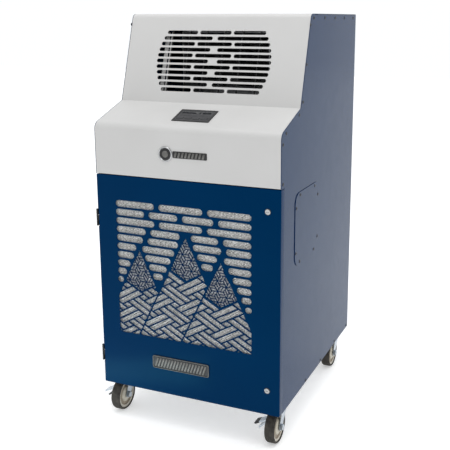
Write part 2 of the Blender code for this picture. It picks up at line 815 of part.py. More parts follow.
def badges():
    x, z, radius = -0.0590, 0.8712, 0.0225
    disc = rod_mesh(radius, (x, FRONT - GAP, z), (x, FRONT - 0.0030, z), 24)
    badge = add("badge_upper", disc, CHROME, CABINET, smooth=40)
    join(badge, box_mesh((x + 0.018, FRONT - 0.0030, z - 0.0115), (0.0748, FRONT - GAP, z + 0.0115)), CABINET)
    low = (-0.119, FRONT - 0.0045, 0.1945)
    add("badge_lower", box_mesh(low, (0.073, FRONT - GAP, 0.2350), 0.0015), CHROME, CABINET)


# ---------------------------------------------------------------- casters


def caster(side, row):
    sign = -1 if side == "left" else 1
    name = f"caster_{row}_{side}"
    swivel = empty(name, CABINET, (sign * CASTER_X, CASTER_Y[row], 0))
    hub = empty(name + "_hub", swivel, (0, -TRAIL, WHEEL_R), (0, math.pi / 2, 0))  # local z is X

    plate = add(name + "_plate", box_mesh((-0.031, -0.043, 0.1272), (0.031, 0.043, 0.1302)), ZINC, swivel)
    cup = turned_mesh([(0.0001, 0.118), (0.026, 0.118), (0.029, 0.121), (0.029, 0.128), (0.0001, 0.128)], 20)
    join(plate, cup, swivel)

    crown = box_mesh((-0.0205, -0.024, 0.1055), (0.0205, 0.024, 0.1085))
    fork = add(name + "_fork", crown, ZINC, swivel)
    join(fork, turned_mesh([(0.0001, 0.107), (0.021, 0.107), (0.024, 0.1175), (0.0001, 0.1175)], 20), swivel)
    leg = [(0.024, 0.1085), (-0.024, 0.1085)]
    for i in range(6):
        angle = math.radians(170 + 36 * i)
        leg.append((-TRAIL + 0.0125 * math.cos(angle), WHEEL_R + 0.0125 * math.sin(angle)))
    for near, far in ((-0.0205, -0.0175), (0.0175, 0.0205)):
        join(fork, plate_mesh([leg], near, far), swivel, rotation=FACE_SIDE)
    cut(fork, rod_mesh(0.0064, (-0.03, -TRAIL, WHEEL_R), (0.03, -TRAIL, WHEEL_R), 14), swivel)

    bolt = rod_mesh(0.0060, (0, 0, -0.0222), (0, 0, 0.0235), 14)
    axle = add(name + "_axle", bolt, ZINC, hub)
    join(axle, rod_mesh(0.0098, (0, 0, 0.0209), (0, 0, 0.0275), 6), hub)

    half = TYRE_WIDTH / 2
    core = [
        (0.0066, 0.0148),
        (0.0150, 0.0148),
        (0.0240, 0.0130),
        (0.0262, 0.0085),
        (0.0365, 0.0080),
        (0.0382, 0.0122),
        (0.0437, 0.0128),
    ]
    core += [(radius, -height) for radius, height in reversed(core)]
    add(name + "_wheel", turned_mesh(core, 28), HUB, hub, smooth=30)
    tread = [
        (0.0440, 0.0125),
        (0.0452, half - 0.0005),
        (0.0472, half),
        (0.0495, half - 0.0025),
        (WHEEL_R, half - 0.0075),
    ]
    tread += [(radius, -height) for radius, height in reversed(tread)]
    add(name + "_tyre", turned_mesh(tread, 32), TYRE, hub, smooth=40)

    if row == "front":
        tip = -PEDAL_REACH
        outline = [
            (-0.0228, 0.0586),
            (-0.0228, 0.0722),
            (-0.0262, 0.0715),
            (tip, 0.0555),
            (tip + 0.0006, 0.0508),
            (-0.0252, 0.0668),
            (-0.0252, 0.0625),
            (-0.0480, 0.0440),
            (-0.0452, 0.0405),
        ]
        pivot = (PEDAL_PIVOT[0], -TRAIL, PEDAL_PIVOT[1])
        moved = [(x - pivot[0], z - pivot[2]) for x, z in outline]
        lever = plate_mesh([moved], -0.014, 0.014)
        add(f"brake_lever_{side}", lever, ZINC, swivel, pivot, FACE_FRONT)


# ---------------------------------------------------------------- inner parts


def shelf():
    """Deck between the coil bay and the blower, with the opening that the air rises through."""
    outline = rectangle(-RETURN_X, RETURN_X, -0.3440, 0.3600)
    opening = rectangle(-0.220, 0.220, -0.160, 0.010, 0.010)
    add("blower_shelf", plate_mesh([outline, opening], SHELF_Z, SHELF_Z + SHEET), STEEL, CABINET)


def coils():
    bottom, top = COIL_Z
    for name, front, back in (("evaporator_coil", -0.300, -0.240), ("condenser_coil", -0.232, -0.182)):
        add(name, box_mesh((-COIL_X, front, bottom), (COIL_X, back, top)), ALUMINIUM, CABINET)
    low, high = (-0.275, -0.312, 0.2045), (0.275, -0.170, 0.2300)
    tray = add("drip_tray", box_mesh(low, high), STEEL, CABINET)
    hollow = ((low[0] + 0.002, low[1] + 0.002, 0.2067), (high[0] - 0.002, high[1] - 0.002, 0.2400))
    cut(tray, box_mesh(*hollow), CABINET)
    for sign in (-1, 1):
        near, far = sorted((sign * 0.235, sign * 0.255))
        join(tray, box_mesh((near, -0.270, PAN_Z + 0.0031), (far, -0.210, 0.2050)), CABINET)


def compressor():
    """Hermetic can on a four-footed base."""
    x, y, floor = 0.120, 0.140, PAN_Z + 0.0031
    profile = [
        (0.0001, 0.020),
        (0.060, 0.020),
        (0.072, 0.034),
        (0.072, 0.235),
        (0.058, 0.262),
        (0.030, 0.276),
        (0.0001, 0.280),
    ]
    can = add("compressor", turned_mesh(profile, 24), BLACK_PAINT, CABINET, (x, y, floor), smooth=40)
    join(can, box_mesh((-0.085, -0.085, 0.012), (0.085, 0.085, 0.024)), can)
    for foot_x in (-0.070, 0.070):
        for foot_y in (-0.070, 0.070):
            join(can, rod_mesh(0.011, (foot_x, foot_y, 0), (foot_x, foot_y, 0.018), 10), can)


def scroll(offset):
    """The blower casing's side outline, moved inwards by an offset."""
    y, z = BLOWER
    first, last = SCROLL_R
    points = []
    steps = 20
    for i in range(steps + 1):
        turn = 270 * i / steps
        radius = first + (last - first) * turn / 270 - offset
        angle = math.radians(180 + turn)
        points.append((y + radius * math.cos(angle), z + radius * math.sin(angle)))
    mouth = -0.075
    points.append((mouth - (0.01 if offset else 0), z + last - offset))
    points.append((mouth - (0.01 if offset else 0), z + 0.020 + offset))
    points.append((y - first + offset, z + 0.020 + offset))
    return points


def blower():
    y, z = BLOWER
    casing = add(
        "blower_housing", plate_mesh([scroll(0)], -HOUSING_X, HOUSING_X), STEEL, CABINET, rotation=FACE_SIDE
    )
    cut(casing, plate_mesh([scroll(0.002)], 0.002 - HOUSING_X, HOUSING_X - 0.002), CABINET, rotation=FACE_SIDE)
    cut(casing, rod_mesh(0.078, (-0.2, y, z), (0.2, y, z), 24), CABINET)
    saddle = ((-0.110, 0.060, SHELF_Z + SHEET + GAP), (0.110, 0.140, z - SCROLL_R[0] - 0.0275))
    join(casing, box_mesh(*saddle), CABINET)

    wheel = empty("blower_axis", CABINET, (0, y, z), (0, math.pi / 2, 0))  # local z is X
    drum_outer, drum_inner, half = 0.092, 0.078, 0.125
    drum = [(drum_inner, -half), (drum_outer, -half), (drum_outer, half), (drum_inner, half)]
    rotor = add("blower_wheel", turned_mesh(drum, 24), BLACK_METAL, wheel)
    join(rotor, rod_mesh(0.085, (0, 0, -0.0015), (0, 0, 0.0015), 24), wheel)
    join(rotor, rod_mesh(0.018, (0, 0, -0.020), (0, 0, 0.020), 12), wheel)
    join(rotor, rod_mesh(0.0065, (0, 0, -0.030), (0, 0, 0.1640), 12), wheel)
    blades = 24
    slots = []
    for i in range(blades):
        for low, high in ((-half + 0.010, -0.006), (0.006, half - 0.010)):
            gap = box_mesh((0.074, -0.0085, low), (0.096, 0.0085, high))
            made = bmesh.new()
            made.from_mesh(gap)
            turn = Matrix.Rotation(TURN * i / blades, 3, "Z")
            bmesh.ops.rotate(made, verts=made.verts, matrix=turn)
            made.to_mesh(gap)
            made.free()
            slots.append(gap)
    cut(rotor, merged(slots), wheel)

    motor = add("blower_motor", rod_mesh(0.055, (0.166, y, z), (0.250, y, z), 24), BLACK_PAINT, CABINET)
    foot = ((0.180, y - 0.030, SHELF_Z + SHEET + GAP), (0.236, y + 0.030, z - 0.040))
    join(motor, box_mesh(*foot), CABINET)


def electrics():
    low = (-0.130, -0.335, SHELF_Z + SHEET + GAP)
    add("electrical_box", box_mesh(low, (0.130, -0.235, 0.900), 0.002), STEEL, CABINET)


def rear_fittings():
    """Cable gland and drain stub, both screwed through the rear panel."""
    x, z, radius = GLAND_HOLE
    gland = [
        (0.0045, -0.008),
        (radius, -0.008),
        (radius, GAP),
        (0.0140, GAP),
        (0.0140, 0.006),
        (0.0110, 0.008),
        (0.0085, REAR_REACH),
        (0.0045, REAR_REACH),
    ]
    back = (math.pi / 2, 0, math.pi)  # local z becomes +Y
    add("cable_gland", turned_mesh(gland, 16), BLACK_PLASTIC, CABINET, (x, REAR, z), back, smooth=35)
    x, z, radius = DRAIN_HOLE
    stub = [
        (0.0050, -0.020),
        (radius, -0.020),
        (radius, GAP),
        (0.0120, GAP),
        (0.0120, 0.004),
        (0.0070, 0.004),
        (0.0080, 0.012),
        (0.0065, REAR_REACH),
        (0.0050, REAR_REACH),
    ]
    add("drain_outlet", turned_mesh(stub, 16), BLACK_PLASTIC, CABINET, (x, REAR, z), back, smooth=35)


# ---------------------------------------------------------------- the whole

base_pan()
side_panel("left_side_panel", -1)
side_panel("right_side_panel", 1)
access_cover()
rear_panel()
top_panel()
upper_shroud()
outlet_guard()
door_panel()
filter_parts()
for level, height in HINGE_Z.items():
    hinge(level, height)
for level, height in LATCH_Z.items():
    latch(level, height)
controls()
badges()
for row_name in CASTER_Y:
    for side_name in ("left", "right"):
        caster(side_name, row_name)
shelf()
coils()
compressor()
blower()
electrics()
rear_fittings()
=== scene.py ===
"""Looks of the portable upright dehumidifier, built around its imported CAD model.

Metres, in the model's own frame: +Z up, the front faces -Y, and the floor is at z = 0.
"""

import json
import math
import random

import bmesh
import bpy
from mathutils import Matrix, Vector, noise

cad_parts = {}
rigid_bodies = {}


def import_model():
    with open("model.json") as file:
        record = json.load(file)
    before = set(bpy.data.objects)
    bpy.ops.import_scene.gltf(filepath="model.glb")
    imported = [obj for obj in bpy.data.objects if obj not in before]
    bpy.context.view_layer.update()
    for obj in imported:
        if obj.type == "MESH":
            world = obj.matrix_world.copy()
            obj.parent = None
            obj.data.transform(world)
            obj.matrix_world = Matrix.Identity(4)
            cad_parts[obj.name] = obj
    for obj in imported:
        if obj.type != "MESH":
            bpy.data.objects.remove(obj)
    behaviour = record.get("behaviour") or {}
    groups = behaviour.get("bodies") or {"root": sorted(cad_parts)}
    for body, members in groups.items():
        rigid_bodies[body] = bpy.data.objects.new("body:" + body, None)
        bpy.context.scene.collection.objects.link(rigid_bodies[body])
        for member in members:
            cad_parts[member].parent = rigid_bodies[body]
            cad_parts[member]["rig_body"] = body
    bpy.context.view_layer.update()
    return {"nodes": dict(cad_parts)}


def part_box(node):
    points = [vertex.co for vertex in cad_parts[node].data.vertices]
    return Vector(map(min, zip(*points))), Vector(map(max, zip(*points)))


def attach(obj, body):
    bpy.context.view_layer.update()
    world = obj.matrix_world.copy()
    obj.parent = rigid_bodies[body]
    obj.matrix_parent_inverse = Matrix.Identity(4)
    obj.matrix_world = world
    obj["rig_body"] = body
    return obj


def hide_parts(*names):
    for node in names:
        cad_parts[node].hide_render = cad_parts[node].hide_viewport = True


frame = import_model()

# Places read from the frame
DOOR_LOW, DOOR_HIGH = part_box("door_panel")
CENTRE_X = (DOOR_LOW.x + DOOR_HIGH.x) / 2
SIDE = (DOOR_HIGH.x - DOOR_LOW.x) / 2
FRONT = DOOR_LOW.y
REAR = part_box("rear_panel")[1].y
DOOR_DEPTH = DOOR_HIGH.y - DOOR_LOW.y

# The shroud's profile, as in the CAD model: corners as (y, z)
BROW = (FRONT, 0.9487)
FOLD = (-0.2102, 1.0029)
CROWN = (-0.1242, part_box("upper_shroud")[1].z)
DECK_TILT = math.atan2(FOLD[1] - BROW[1], FOLD[0] - BROW[0])
FACE_TILT = math.atan2(CROWN[1] - FOLD[1], CROWN[0] - FOLD[0])
SHEET = 0.0015  # thickness of the door's sheet

# Door pattern, as in the CAD model
FIELD = (-0.235, 0.211, 0.2935, 0.7185)  # left, right, bottom, top
DOOR_ROWS = 11
ROW_PITCH = 0.02676  # at the field's left side
ROW_FAN = 0.0022  # the rows open out a little towards the right, per row
ROW_SLANT = 0.0060
ROW_TOP = 0.7085
ROW_SLOT = 0.0205
ROW_BRIDGE = 0.0150
ROW_SPLITS = {
    0: (-0.0955, 0.0645),
    1: (-0.1295, -0.0175, 0.0995),
    2: (-0.0955, 0.0630),
    3: (-0.1255, 0.1140),
    4: (-0.1360, 0.1240),
    5: (0.1150,),
}
FLANK = 2.04  # rise over run of a peak's sides
SHORTEST_SLOT = 0.0130
STRAND_X = 0.0192  # half of a woven cell's width, and below of its height
STRAND_Z = 0.01075
STRAND_BAR = 0.0045
PEAKS = {
    "left": ((-0.158, 0.569), (-0.1558, 0.4366), (-0.2046, 0.4180)),
    "middle": ((-0.0002, 0.6252), (-0.0006, 0.4910), (0.0186, 0.4743)),
    "right": ((0.1138, 0.5613), (0.1125, 0.4240), (0.1317, 0.4073)),
}
# Metal beside each peak: left of it, right of it, and the least half width at its tip
PEAK_ROOM = {
    "left": (0.0080, 0.0080, 0.0100),
    "middle": (0.0110, 0.0110, 0.0180),
    "right": (0.0150, 0.0145, 0.0100),
}
CAP_CELL = 0.0190  # side of the caps' hexagons
CAP_BAR = 0.0023
LEAST_OPENING = 2.5e-6  # square metres
SHORTEST_EDGE = 0.0003
LATCHES = {name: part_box(name) for name in ("latch_upper", "latch_lower")}
LATCH_HEAD = 0.0082  # radius of a latch's round head, which its cam hangs below
LATCH_HOLE = 0.0070  # radius

TURN = 2 * math.pi
IN_PLACE = Matrix.Identity(4)
CABINET = Matrix.Translation((CENTRE_X, 0, 0))
UPRIGHT = Matrix.Rotation(math.pi / 2, 4, "X")
ON_FRONT = CABINET @ UPRIGHT  # local x, y, z become X, Z, -Y
ON_RIGHT = CABINET @ Matrix.Rotation(math.pi / 2, 4, "Z") @ UPRIGHT  # Y, Z, X
ON_LEFT = CABINET @ Matrix.Rotation(-math.pi / 2, 4, "Z") @ UPRIGHT  # -Y, Z, -X
ON_REAR = CABINET @ Matrix.Rotation(math.pi, 4, "Z") @ UPRIGHT  # -X, Z, Y
DECK = CABINET @ Matrix.Translation((0, *BROW)) @ Matrix.Rotation(DECK_TILT, 4, "X")
FACE = CABINET @ Matrix.Translation((0, *FOLD)) @ Matrix.Rotation(FACE_TILT, 4, "X")


# ---- materials


def set_sockets(node, values):
    for socket, value in values.items():
        node.inputs[socket.replace("_", " ")].default_value = value


class Paint:
    """A procedural material: a Principled shader and the node chains that vary it."""

    def __init__(self, name, **sockets):
        self.material = bpy.data.materials.new(name)
        self.material.use_nodes = True
        self.tree = self.material.node_tree
        self.shader = self.tree.nodes["Principled BSDF"]
        set_sockets(self.shader, sockets)

    def make(self, kind, **values):
        made = self.tree.nodes.new(kind)
        set_sockets(made, values)
        return made

    def link(self, start, end):
        self.tree.links.new(start, end)

    def place(self, stretch=(1, 1, 1)):
        """Object coordinates, in metres, stretched along an axis where a finish has a direction."""
        source = self.make("ShaderNodeTexCoord")
        mapping = self.make("ShaderNodeMapping", Scale=stretch)
        self.link(source.outputs["Object"], mapping.inputs["Vector"])
        return mapping.outputs["Vector"]

    def cloud(self, scale, detail, stretch=(1, 1, 1)):
        made = self.make("ShaderNodeTexNoise", Scale=scale, Detail=detail)
        self.link(self.place(stretch), made.inputs["Vector"])
        return made.outputs["Fac"]

    def spread(self, source, low, high, start=0.3, end=0.7):
        made = self.make("ShaderNodeMapRange", From_Min=start, From_Max=end, To_Min=low, To_Max=high)
        self.link(source, made.inputs["Value"])
        return made.outputs["Result"]

    def shades(self, source, dark, light, start=0.3, end=0.7):
        """Base colour that runs between two shades with a pattern."""
        ramp = self.make("ShaderNodeValToRGB")
        for stop, place, shade in zip(ramp.color_ramp.elements, (start, end), (dark, light)):
            stop.position, stop.color = place, (*shade, 1)
        self.link(source, ramp.inputs["Fac"])
        self.link(ramp.outputs["Color"], self.shader.inputs["Base Color"])

    def gloss(self, source, low, high, start=0.3, end=0.7):
        self.link(self.spread(source, low, high, start, end), self.shader.inputs["Roughness"])

    def relief(self, source, distance, strength=1.0):
        """Bump as deep as a distance in metres."""
        bump = self.make("ShaderNodeBump", Strength=strength, Distance=distance)
        self.link(source, bump.inputs["Height"])
        self.link(bump.outputs["Normal"], self.shader.inputs["Normal"])


def finish(name, tone, gloss, grain, stretches=((1, 1, 1),) * 3, **sockets):
    """A material varied by three noises, each given as its scale, its detail and its effect.

    tone: two shades, and where the first ends and the second starts in the noise
    gloss: two roughnesses
    grain: the bump's depth in metres, and its strength
    """
    paint = Paint(name, **sockets)
    effects = (paint.shades, paint.gloss, paint.relief)
    for effect, (scale, detail, *values), stretch in zip(effects, (tone, gloss, grain), stretches):
        effect(paint.cloud(scale, detail, stretch), *values)
    return paint.material


def galvanised():
    """Hot-dip zinc with its spangle."""
    paint = Paint("galvanised_steel", Metallic=1.0)
    spangle = paint.make("ShaderNodeTexVoronoi", Scale=75.0)
    paint.link(paint.place(), spangle.inputs["Vector"])
    paint.shades(spangle.outputs["Color"], (0.40, 0.41, 0.425), (0.60, 0.61, 0.62), 0.1, 0.9)
    paint.gloss(spangle.outputs["Color"], 0.32, 0.52, 0.1, 0.9)
    paint.relief(paint.cloud(500, 3), 0.00004)
    return paint.material


def hub_cream():
    """Cream moulded wheel centre, with painted shade: darker tan across its recessed groove."""
    paint = Paint("hub_cream")
    radius = paint.make("ShaderNodeVectorMath")
    radius.operation = "LENGTH"
    paint.link(paint.place((1, 1, 0)), radius.inputs[0])
    ramp = paint.make("ShaderNodeValToRGB")
    paint.link(paint.spread(radius.outputs["Value"], 0, 1, 0.0, 0.044), ramp.inputs["Fac"])
    stops = ramp.color_ramp.elements
    # Cream, then darker tan over the recessed groove as painted shade, then cream again at the rim
    stops[0].position, stops[0].color = 0.55, (0.60, 0.56, 0.46, 1)
    stops[1].position, stops[1].color = 0.60, (0.36, 0.30, 0.22, 1)
    for place, shade in ((0.82, (0.38, 0.32, 0.24, 1)), (0.86, (0.63, 0.59, 0.50, 1))):
        stops.new(place).color = shade
    mix = paint.make("ShaderNodeMix")
    mix.data_type = "RGBA"
    mix.blend_type = "MULTIPLY"
    mix.inputs[0].default_value = 0.35
    paint.link(ramp.outputs["Color"], mix.inputs[6])
    paint.link(paint.cloud(140, 5), mix.inputs[7])
    paint.link(mix.outputs[2], paint.shader.inputs["Base Color"])
    paint.gloss(paint.cloud(200, 3), 0.34, 0.52)
    paint.relief(paint.cloud(800, 2), 0.00004)
    return paint.material


def floor_white():
    """A pale floor that glows a little, so that it stays white."""
    paint = Paint(
        "floor", Roughness=0.9, Specular_IOR_Level=0.1, Emission_Strength=0.36, Emission_Color=(1, 1, 1, 1)
    )
    paint.shades(paint.cloud(2, 3), (0.92, 0.92, 0.92), (0.94, 0.94, 0.94))
    return paint.material


# Deep blue gloss powder coat: a fine orange peel and a faint unevenness of gloss
BLUE = finish(
    "blue_paint", (4, 3, (0.0, 0.015, 0.066), (0.0, 0.017, 0.072)), (30, 4, 0.21, 0.25),
    (420, 2, 0.00003, 0.6), Specular_IOR_Level=0.12, Specular_Tint=(0.0, 0.75, 1.0, 1),
)
# Satin moulded plastic with a fine spark-eroded grain
WHITE = finish(
    "white_shell", (5, 6, (0.536, 0.531, 0.522), (0.564, 0.559, 0.551)), (40, 5, 0.40, 0.52),
    (1500, 2, 0.00004), Specular_IOR_Level=0.4,
)
# Crumpled aluminium mesh, and the foil behind it in its shade
FILTER = finish(
    "filter_aluminium", (190, 4, (0.36, 0.355, 0.345), (0.98, 0.975, 0.955), 0.36, 0.60),
    (150, 4, 0.30, 0.50), (900, 3, 0.00012), Metallic=0.45,
)
FOIL = finish(
    "filter_foil", (130, 5, (0.24, 0.237, 0.23), (0.88, 0.87, 0.85), 0.38, 0.62),
    (120, 3, 0.38, 0.58), (320, 4, 0.0005), Metallic=0.5,
)
ALUMINIUM = finish(
    "rolled_aluminium", (30, 4, (0.54, 0.54, 0.535), (0.68, 0.68, 0.67)), (300, 3, 0.28, 0.44),
    (900, 2, 0.00003), stretches=((0.2, 1, 6), (0.1, 1, 3), (0.05, 1, 2)), Metallic=1.0,
)
CHROME = finish(
    "chrome", (40, 4, (0.35, 0.355, 0.36), (0.50, 0.505, 0.51)), (220, 4, 0.09, 0.19),
    (160, 2, 0.00005), Metallic=1.0,
)
# The badges: satin silver on a mid-grey lacquer
SILVER = finish(
    "badge_silver", (70, 4, (0.105, 0.104, 0.098), (0.165, 0.163, 0.155)), (260, 3, 0.28, 0.42),
    (500, 2, 0.00003), Metallic=0.7,
)
BADGE_GREY = finish(
    "badge_grey", (80, 4, (0.027, 0.032, 0.037), (0.037, 0.042, 0.047)), (200, 3, 0.34, 0.48),
    (900, 2, 0.00003),
)
# Bright, faintly blue zinc plate with cloudy passivation
ZINC = finish(
    "zinc_plate", (55, 5, (0.36, 0.41, 0.46), (0.52, 0.56, 0.60)), (170, 4, 0.20, 0.38),
    (700, 3, 0.00004), Metallic=1.0,
)
GALVANISED = galvanised()
BLACK_METAL = finish(
    "black_metal", (90, 4, (0.008, 0.008, 0.009), (0.020, 0.020, 0.021)), (200, 3, 0.36, 0.50),
    (900, 2, 0.00004), Metallic=0.3,
)
BLACK_PLASTIC = finish(
    "black_plastic", (60, 4, (0.009, 0.009, 0.010), (0.017, 0.017, 0.018)), (260, 4, 0.38, 0.52),
    (1800, 2, 0.00004),
)
# The control panel: its film, its keys and its window
PANEL_GREY = finish(
    "panel_grey", (120, 3, (0.036, 0.036, 0.039), (0.048, 0.048, 0.051)), (90, 3, 0.34, 0.50),
    (2200, 2, 0.00003),
)
KEY_GREY = finish(
    "key_grey", (200, 3, (0.024, 0.024, 0.027), (0.038, 0.038, 0.042)), (300, 3, 0.42, 0.58),
    (2600, 2, 0.00004),
)
WINDOW = finish(
    "display_window", (60, 2, (0.006, 0.008, 0.011), (0.011, 0.013, 0.017)), (40, 4, 0.05, 0.14),
    (30, 2, 0.00002), Coat_Weight=0.6,
)
# Grey-brown rubber with a dusty tread
RUBBER = finish(
    "tyre_rubber", (70, 6, (0.026, 0.024, 0.021), (0.062, 0.056, 0.048)), (160, 4, 0.68, 0.90),
    (1100, 3, 0.00010), Specular_IOR_Level=0.3,
)
CREAM = hub_cream()
COPPER = finish(
    "copper", (45, 5, (0.36, 0.15, 0.08), (0.76, 0.36, 0.20)), (130, 4, 0.22, 0.42),
    (500, 2, 0.00003), Metallic=1.0,
)
ENAMEL = finish(
    "black_enamel", (30, 5, (0.012, 0.012, 0.013), (0.026, 0.025, 0.026)), (90, 4, 0.28, 0.46),
    (420, 2, 0.00008), Coat_Weight=0.2,
)


# ---- shape helpers


def placed(name, data):
    made = bpy.data.objects.new(name, data)
    bpy.context.scene.collection.objects.link(made)
    return made


def piece(name, data, material, body, matrix=None, instead=(), smooth=None):
    """A shown piece: it rides on a body and stands for CAD nodes."""
    made = placed(name, data)
    if matrix is not None:
        made.matrix_world = matrix
    data.materials.clear()
    data.materials.append(material)
    if smooth:
        data.shade_smooth()
        data.set_sharp_from_angle(angle=math.radians(smooth))
    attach(made, body)
    if instead:
        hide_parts(*instead)
    return made


def mesh_of(made, name="shape"):
    mesh = bpy.data.meshes.new(name)
    made.to_mesh(mesh)
    made.free()
    return mesh


def box(low, high, bevel=0.0, segments=2):
    low, high = Vector(low), Vector(high)
    made = bmesh.new()
    bmesh.ops.create_cube(made, size=1)
    bmesh.ops.scale(made, vec=high - low, verts=made.verts)
    bmesh.ops.translate(made, vec=(low + high) / 2, verts=made.verts)
    if bevel:
        bmesh.ops.bevel(
            made, geom=made.edges[:], offset=bevel, segments=segments, profile=0.5, affect="EDGES"
        )
    return mesh_of(made)


def flat_fill(outlines):
    """A flat filled sheet in x and y from closed outlines, outermost first."""
    curve = bpy.data.curves.new("fill", "CURVE")
    curve.dimensions = "2D"
    curve.fill_mode = "BOTH"
    for outline in outlines:
        spline = curve.splines.new("POLY")
        spline.points.add(len(outline) - 1)
        for point, (x, y) in zip(spline.points, outline):
            point.co = (x, y, 0, 1)
        spline.use_cyclic_u = True
    source = placed("fill", curve)
    bpy.context.view_layer.update()
    mesh = bpy.data.meshes.new_from_object(source.evaluated_get(bpy.context.evaluated_depsgraph_get()))
    bpy.data.objects.remove(source)
    made = bmesh.new()
    made.from_mesh(mesh)
    bmesh.ops.remove_doubles(made, verts=made.verts, dist=1e-6)
    for face in made.faces:
        if face.normal.z < 0:
            face.normal_flip()
    return made


def plate(outlines, low, high, bevel=0.0):
    """A flat plate between two local heights, with its rims bevelled."""
    made = flat_fill(outlines)
    bmesh.ops.translate(made, vec=(0, 0, low), verts=made.verts)
    grown = bmesh.ops.extrude_face_region(made, geom=made.faces[:])
    risen = [part for part in grown["geom"] if isinstance(part, bmesh.types.BMVert)]
    bmesh.ops.translate(made, vec=(0, 0, high - low), verts=risen)
    bmesh.ops.recalc_face_normals(made, faces=made.faces)
    if bevel:
        bmesh.ops.dissolve_limit(made, angle_limit=0.01, verts=made.verts, edges=made.edges)
        rims = [
            edge
            for edge in made.edges
            if len(edge.link_faces) == 2 and edge.calc_face_angle() > 1 and is_rim(edge, high)
        ]
        bmesh.ops.bevel(made, geom=rims, offset=bevel, segments=2, profile=0.5, affect="EDGES")
    return mesh_of(made)


def is_rim(edge, height):
    return all(abs(vert.co.z - height) < 1e-6 for vert in edge.verts)


def turned(profile, steps):
    """A closed profile of (radius, height) points turned about the local Z axis."""
    made = bmesh.new()
    rings = []
    for i in range(steps):
        angle = TURN * i / steps
        ring = [
            made.verts.new((radius * math.cos(angle), radius * math.sin(angle), height))
            for radius, height in profile
        ]
        rings.append(ring)
    count = len(profile)
    for ring, following in zip(rings, rings[1:] + rings[:1]):
        for k in range(count):
            m = (k + 1) % count
            made.faces.new((ring[k], following[k], following[m], ring[m]))
    bmesh.ops.remove_doubles(made, verts=made.verts, dist=1e-6)
    bmesh.ops.recalc_face_normals(made, faces=made.faces)
    return mesh_of(made)


def gathered(parts):
    """Several meshes, each with its matrix, as one mesh."""
    made = bmesh.new()
    for mesh, matrix in parts:
        grown = bmesh.new()
        grown.from_mesh(mesh)
        grown.transform(matrix)
        moved = mesh_of(grown)
        made.from_mesh(moved)
        bpy.data.meshes.remove(moved)
    return mesh_of(made)


def tubes(name, paths, radius, material, body, sides=3):
    """Round tubes along open paths, as one curve."""
    curve = bpy.data.curves.new(name, "CURVE")
    curve.dimensions = "3D"
    curve.bevel_depth = radius
    curve.bevel_resolution = sides
    curve.use_fill_caps = True
    for path in paths:
        spline = curve.splines.new("POLY")
        spline.points.add(len(path) - 1)
        for point, place in zip(spline.points, path):
            point.co = (*place, 1)
    return piece(name, curve, material, body)


def bent(points, radius, steps=6):
    """A path with a smooth bend at each inner corner."""
    points = [Vector(point) for point in points]
    path = [points[0]]
    for before, corner, after in zip(points, points[1:], points[2:]):
        start = corner + (before - corner).normalized() * radius
        end = corner + (after - corner).normalized() * radius
        for i in range(steps + 1):
            t = i / steps
            path.append((1 - t) ** 2 * start + 2 * t * (1 - t) * corner + t * t * end)
    path.append(points[-1])
    return path


def cut_boxes(target, boxes):
    """Boxes cut out of an object, and all its modifiers applied."""
    cutters = []
    for low, high in boxes:
        cutter = placed("cutter", box(low, high))
        cut = target.modifiers.new("cut", "BOOLEAN")
        cut.operation = "DIFFERENCE"
        cut.solver = "EXACT"
        cut.object = cutter
        cutters.append(cutter)
    bpy.context.view_layer.update()
    graph = bpy.context.evaluated_depsgraph_get()
    mesh = bpy.data.meshes.new_from_object(target.evaluated_get(graph))
    target.modifiers.clear()
    target.data = mesh
    for cutter in cutters:
        bpy.data.objects.remove(cutter)


def soften(node, width, material, smooth=35, segments=2):
    """A copy of a CAD node with its edges rounded, standing in for the node."""
    source = frame["nodes"][node]
    made = bmesh.new()
    made.from_mesh(source.data)
    bmesh.ops.remove_doubles(made, verts=made.verts, dist=1e-6)
    bmesh.ops.dissolve_limit(made, angle_limit=0.01, verts=made.verts, edges=made.edges)
    shape = mesh_of(made, node)
    body = source["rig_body"]
    copy = piece(node + "_shape", shape, material, body, None, (node,), smooth)
    bevel = copy.modifiers.new("edges", "BEVEL")
    bevel.width = width
    bevel.segments = segments
    bevel.limit_method = "ANGLE"
    bevel.angle_limit = math.radians(32)
    even = copy.modifiers.new("even_shading", "WEIGHTED_NORMAL")
    even.keep_sharp = True


def arc(x, y, radius, first, sweep, steps):
    """Points along an arc, its first angle and its sweep in degrees."""
    angles = [math.radians(first + sweep * i / steps) for i in range(steps + 1)]
    return [(x + radius * math.cos(angle), y + radius * math.sin(angle)) for angle in angles]


def rectangle(left, right, bottom, top, radius=0.0, steps=4):
    if not radius:
        return [(left, bottom), (right, bottom), (right, top), (left, top)]
    near, far, low, high = left + radius, right - radius, bottom + radius, top - radius
    corners = ((far, low, -90), (far, high, 0), (near, high, 90), (near, low, 180))
    return [point for x, y, first in corners for point in arc(x, y, radius, first, 90, steps)]


def slot_outline(half, height, steps=14):
    radius = height / 2
    end = half - radius
    return arc(end, 0, radius, -90, 180, steps) + arc(-end, 0, radius, 90, 180, steps)


def circle(x, y, radius, sides=24):
    return [
        (x + radius * math.cos(TURN * i / sides), y + radius * math.sin(TURN * i / sides))
        for i in range(sides)
    ]


# ---- door pattern


def row_height(row, x):
    return ROW_TOP - ROW_PITCH * row - (ROW_SLANT + ROW_FAN * row) * (x - FIELD[0])


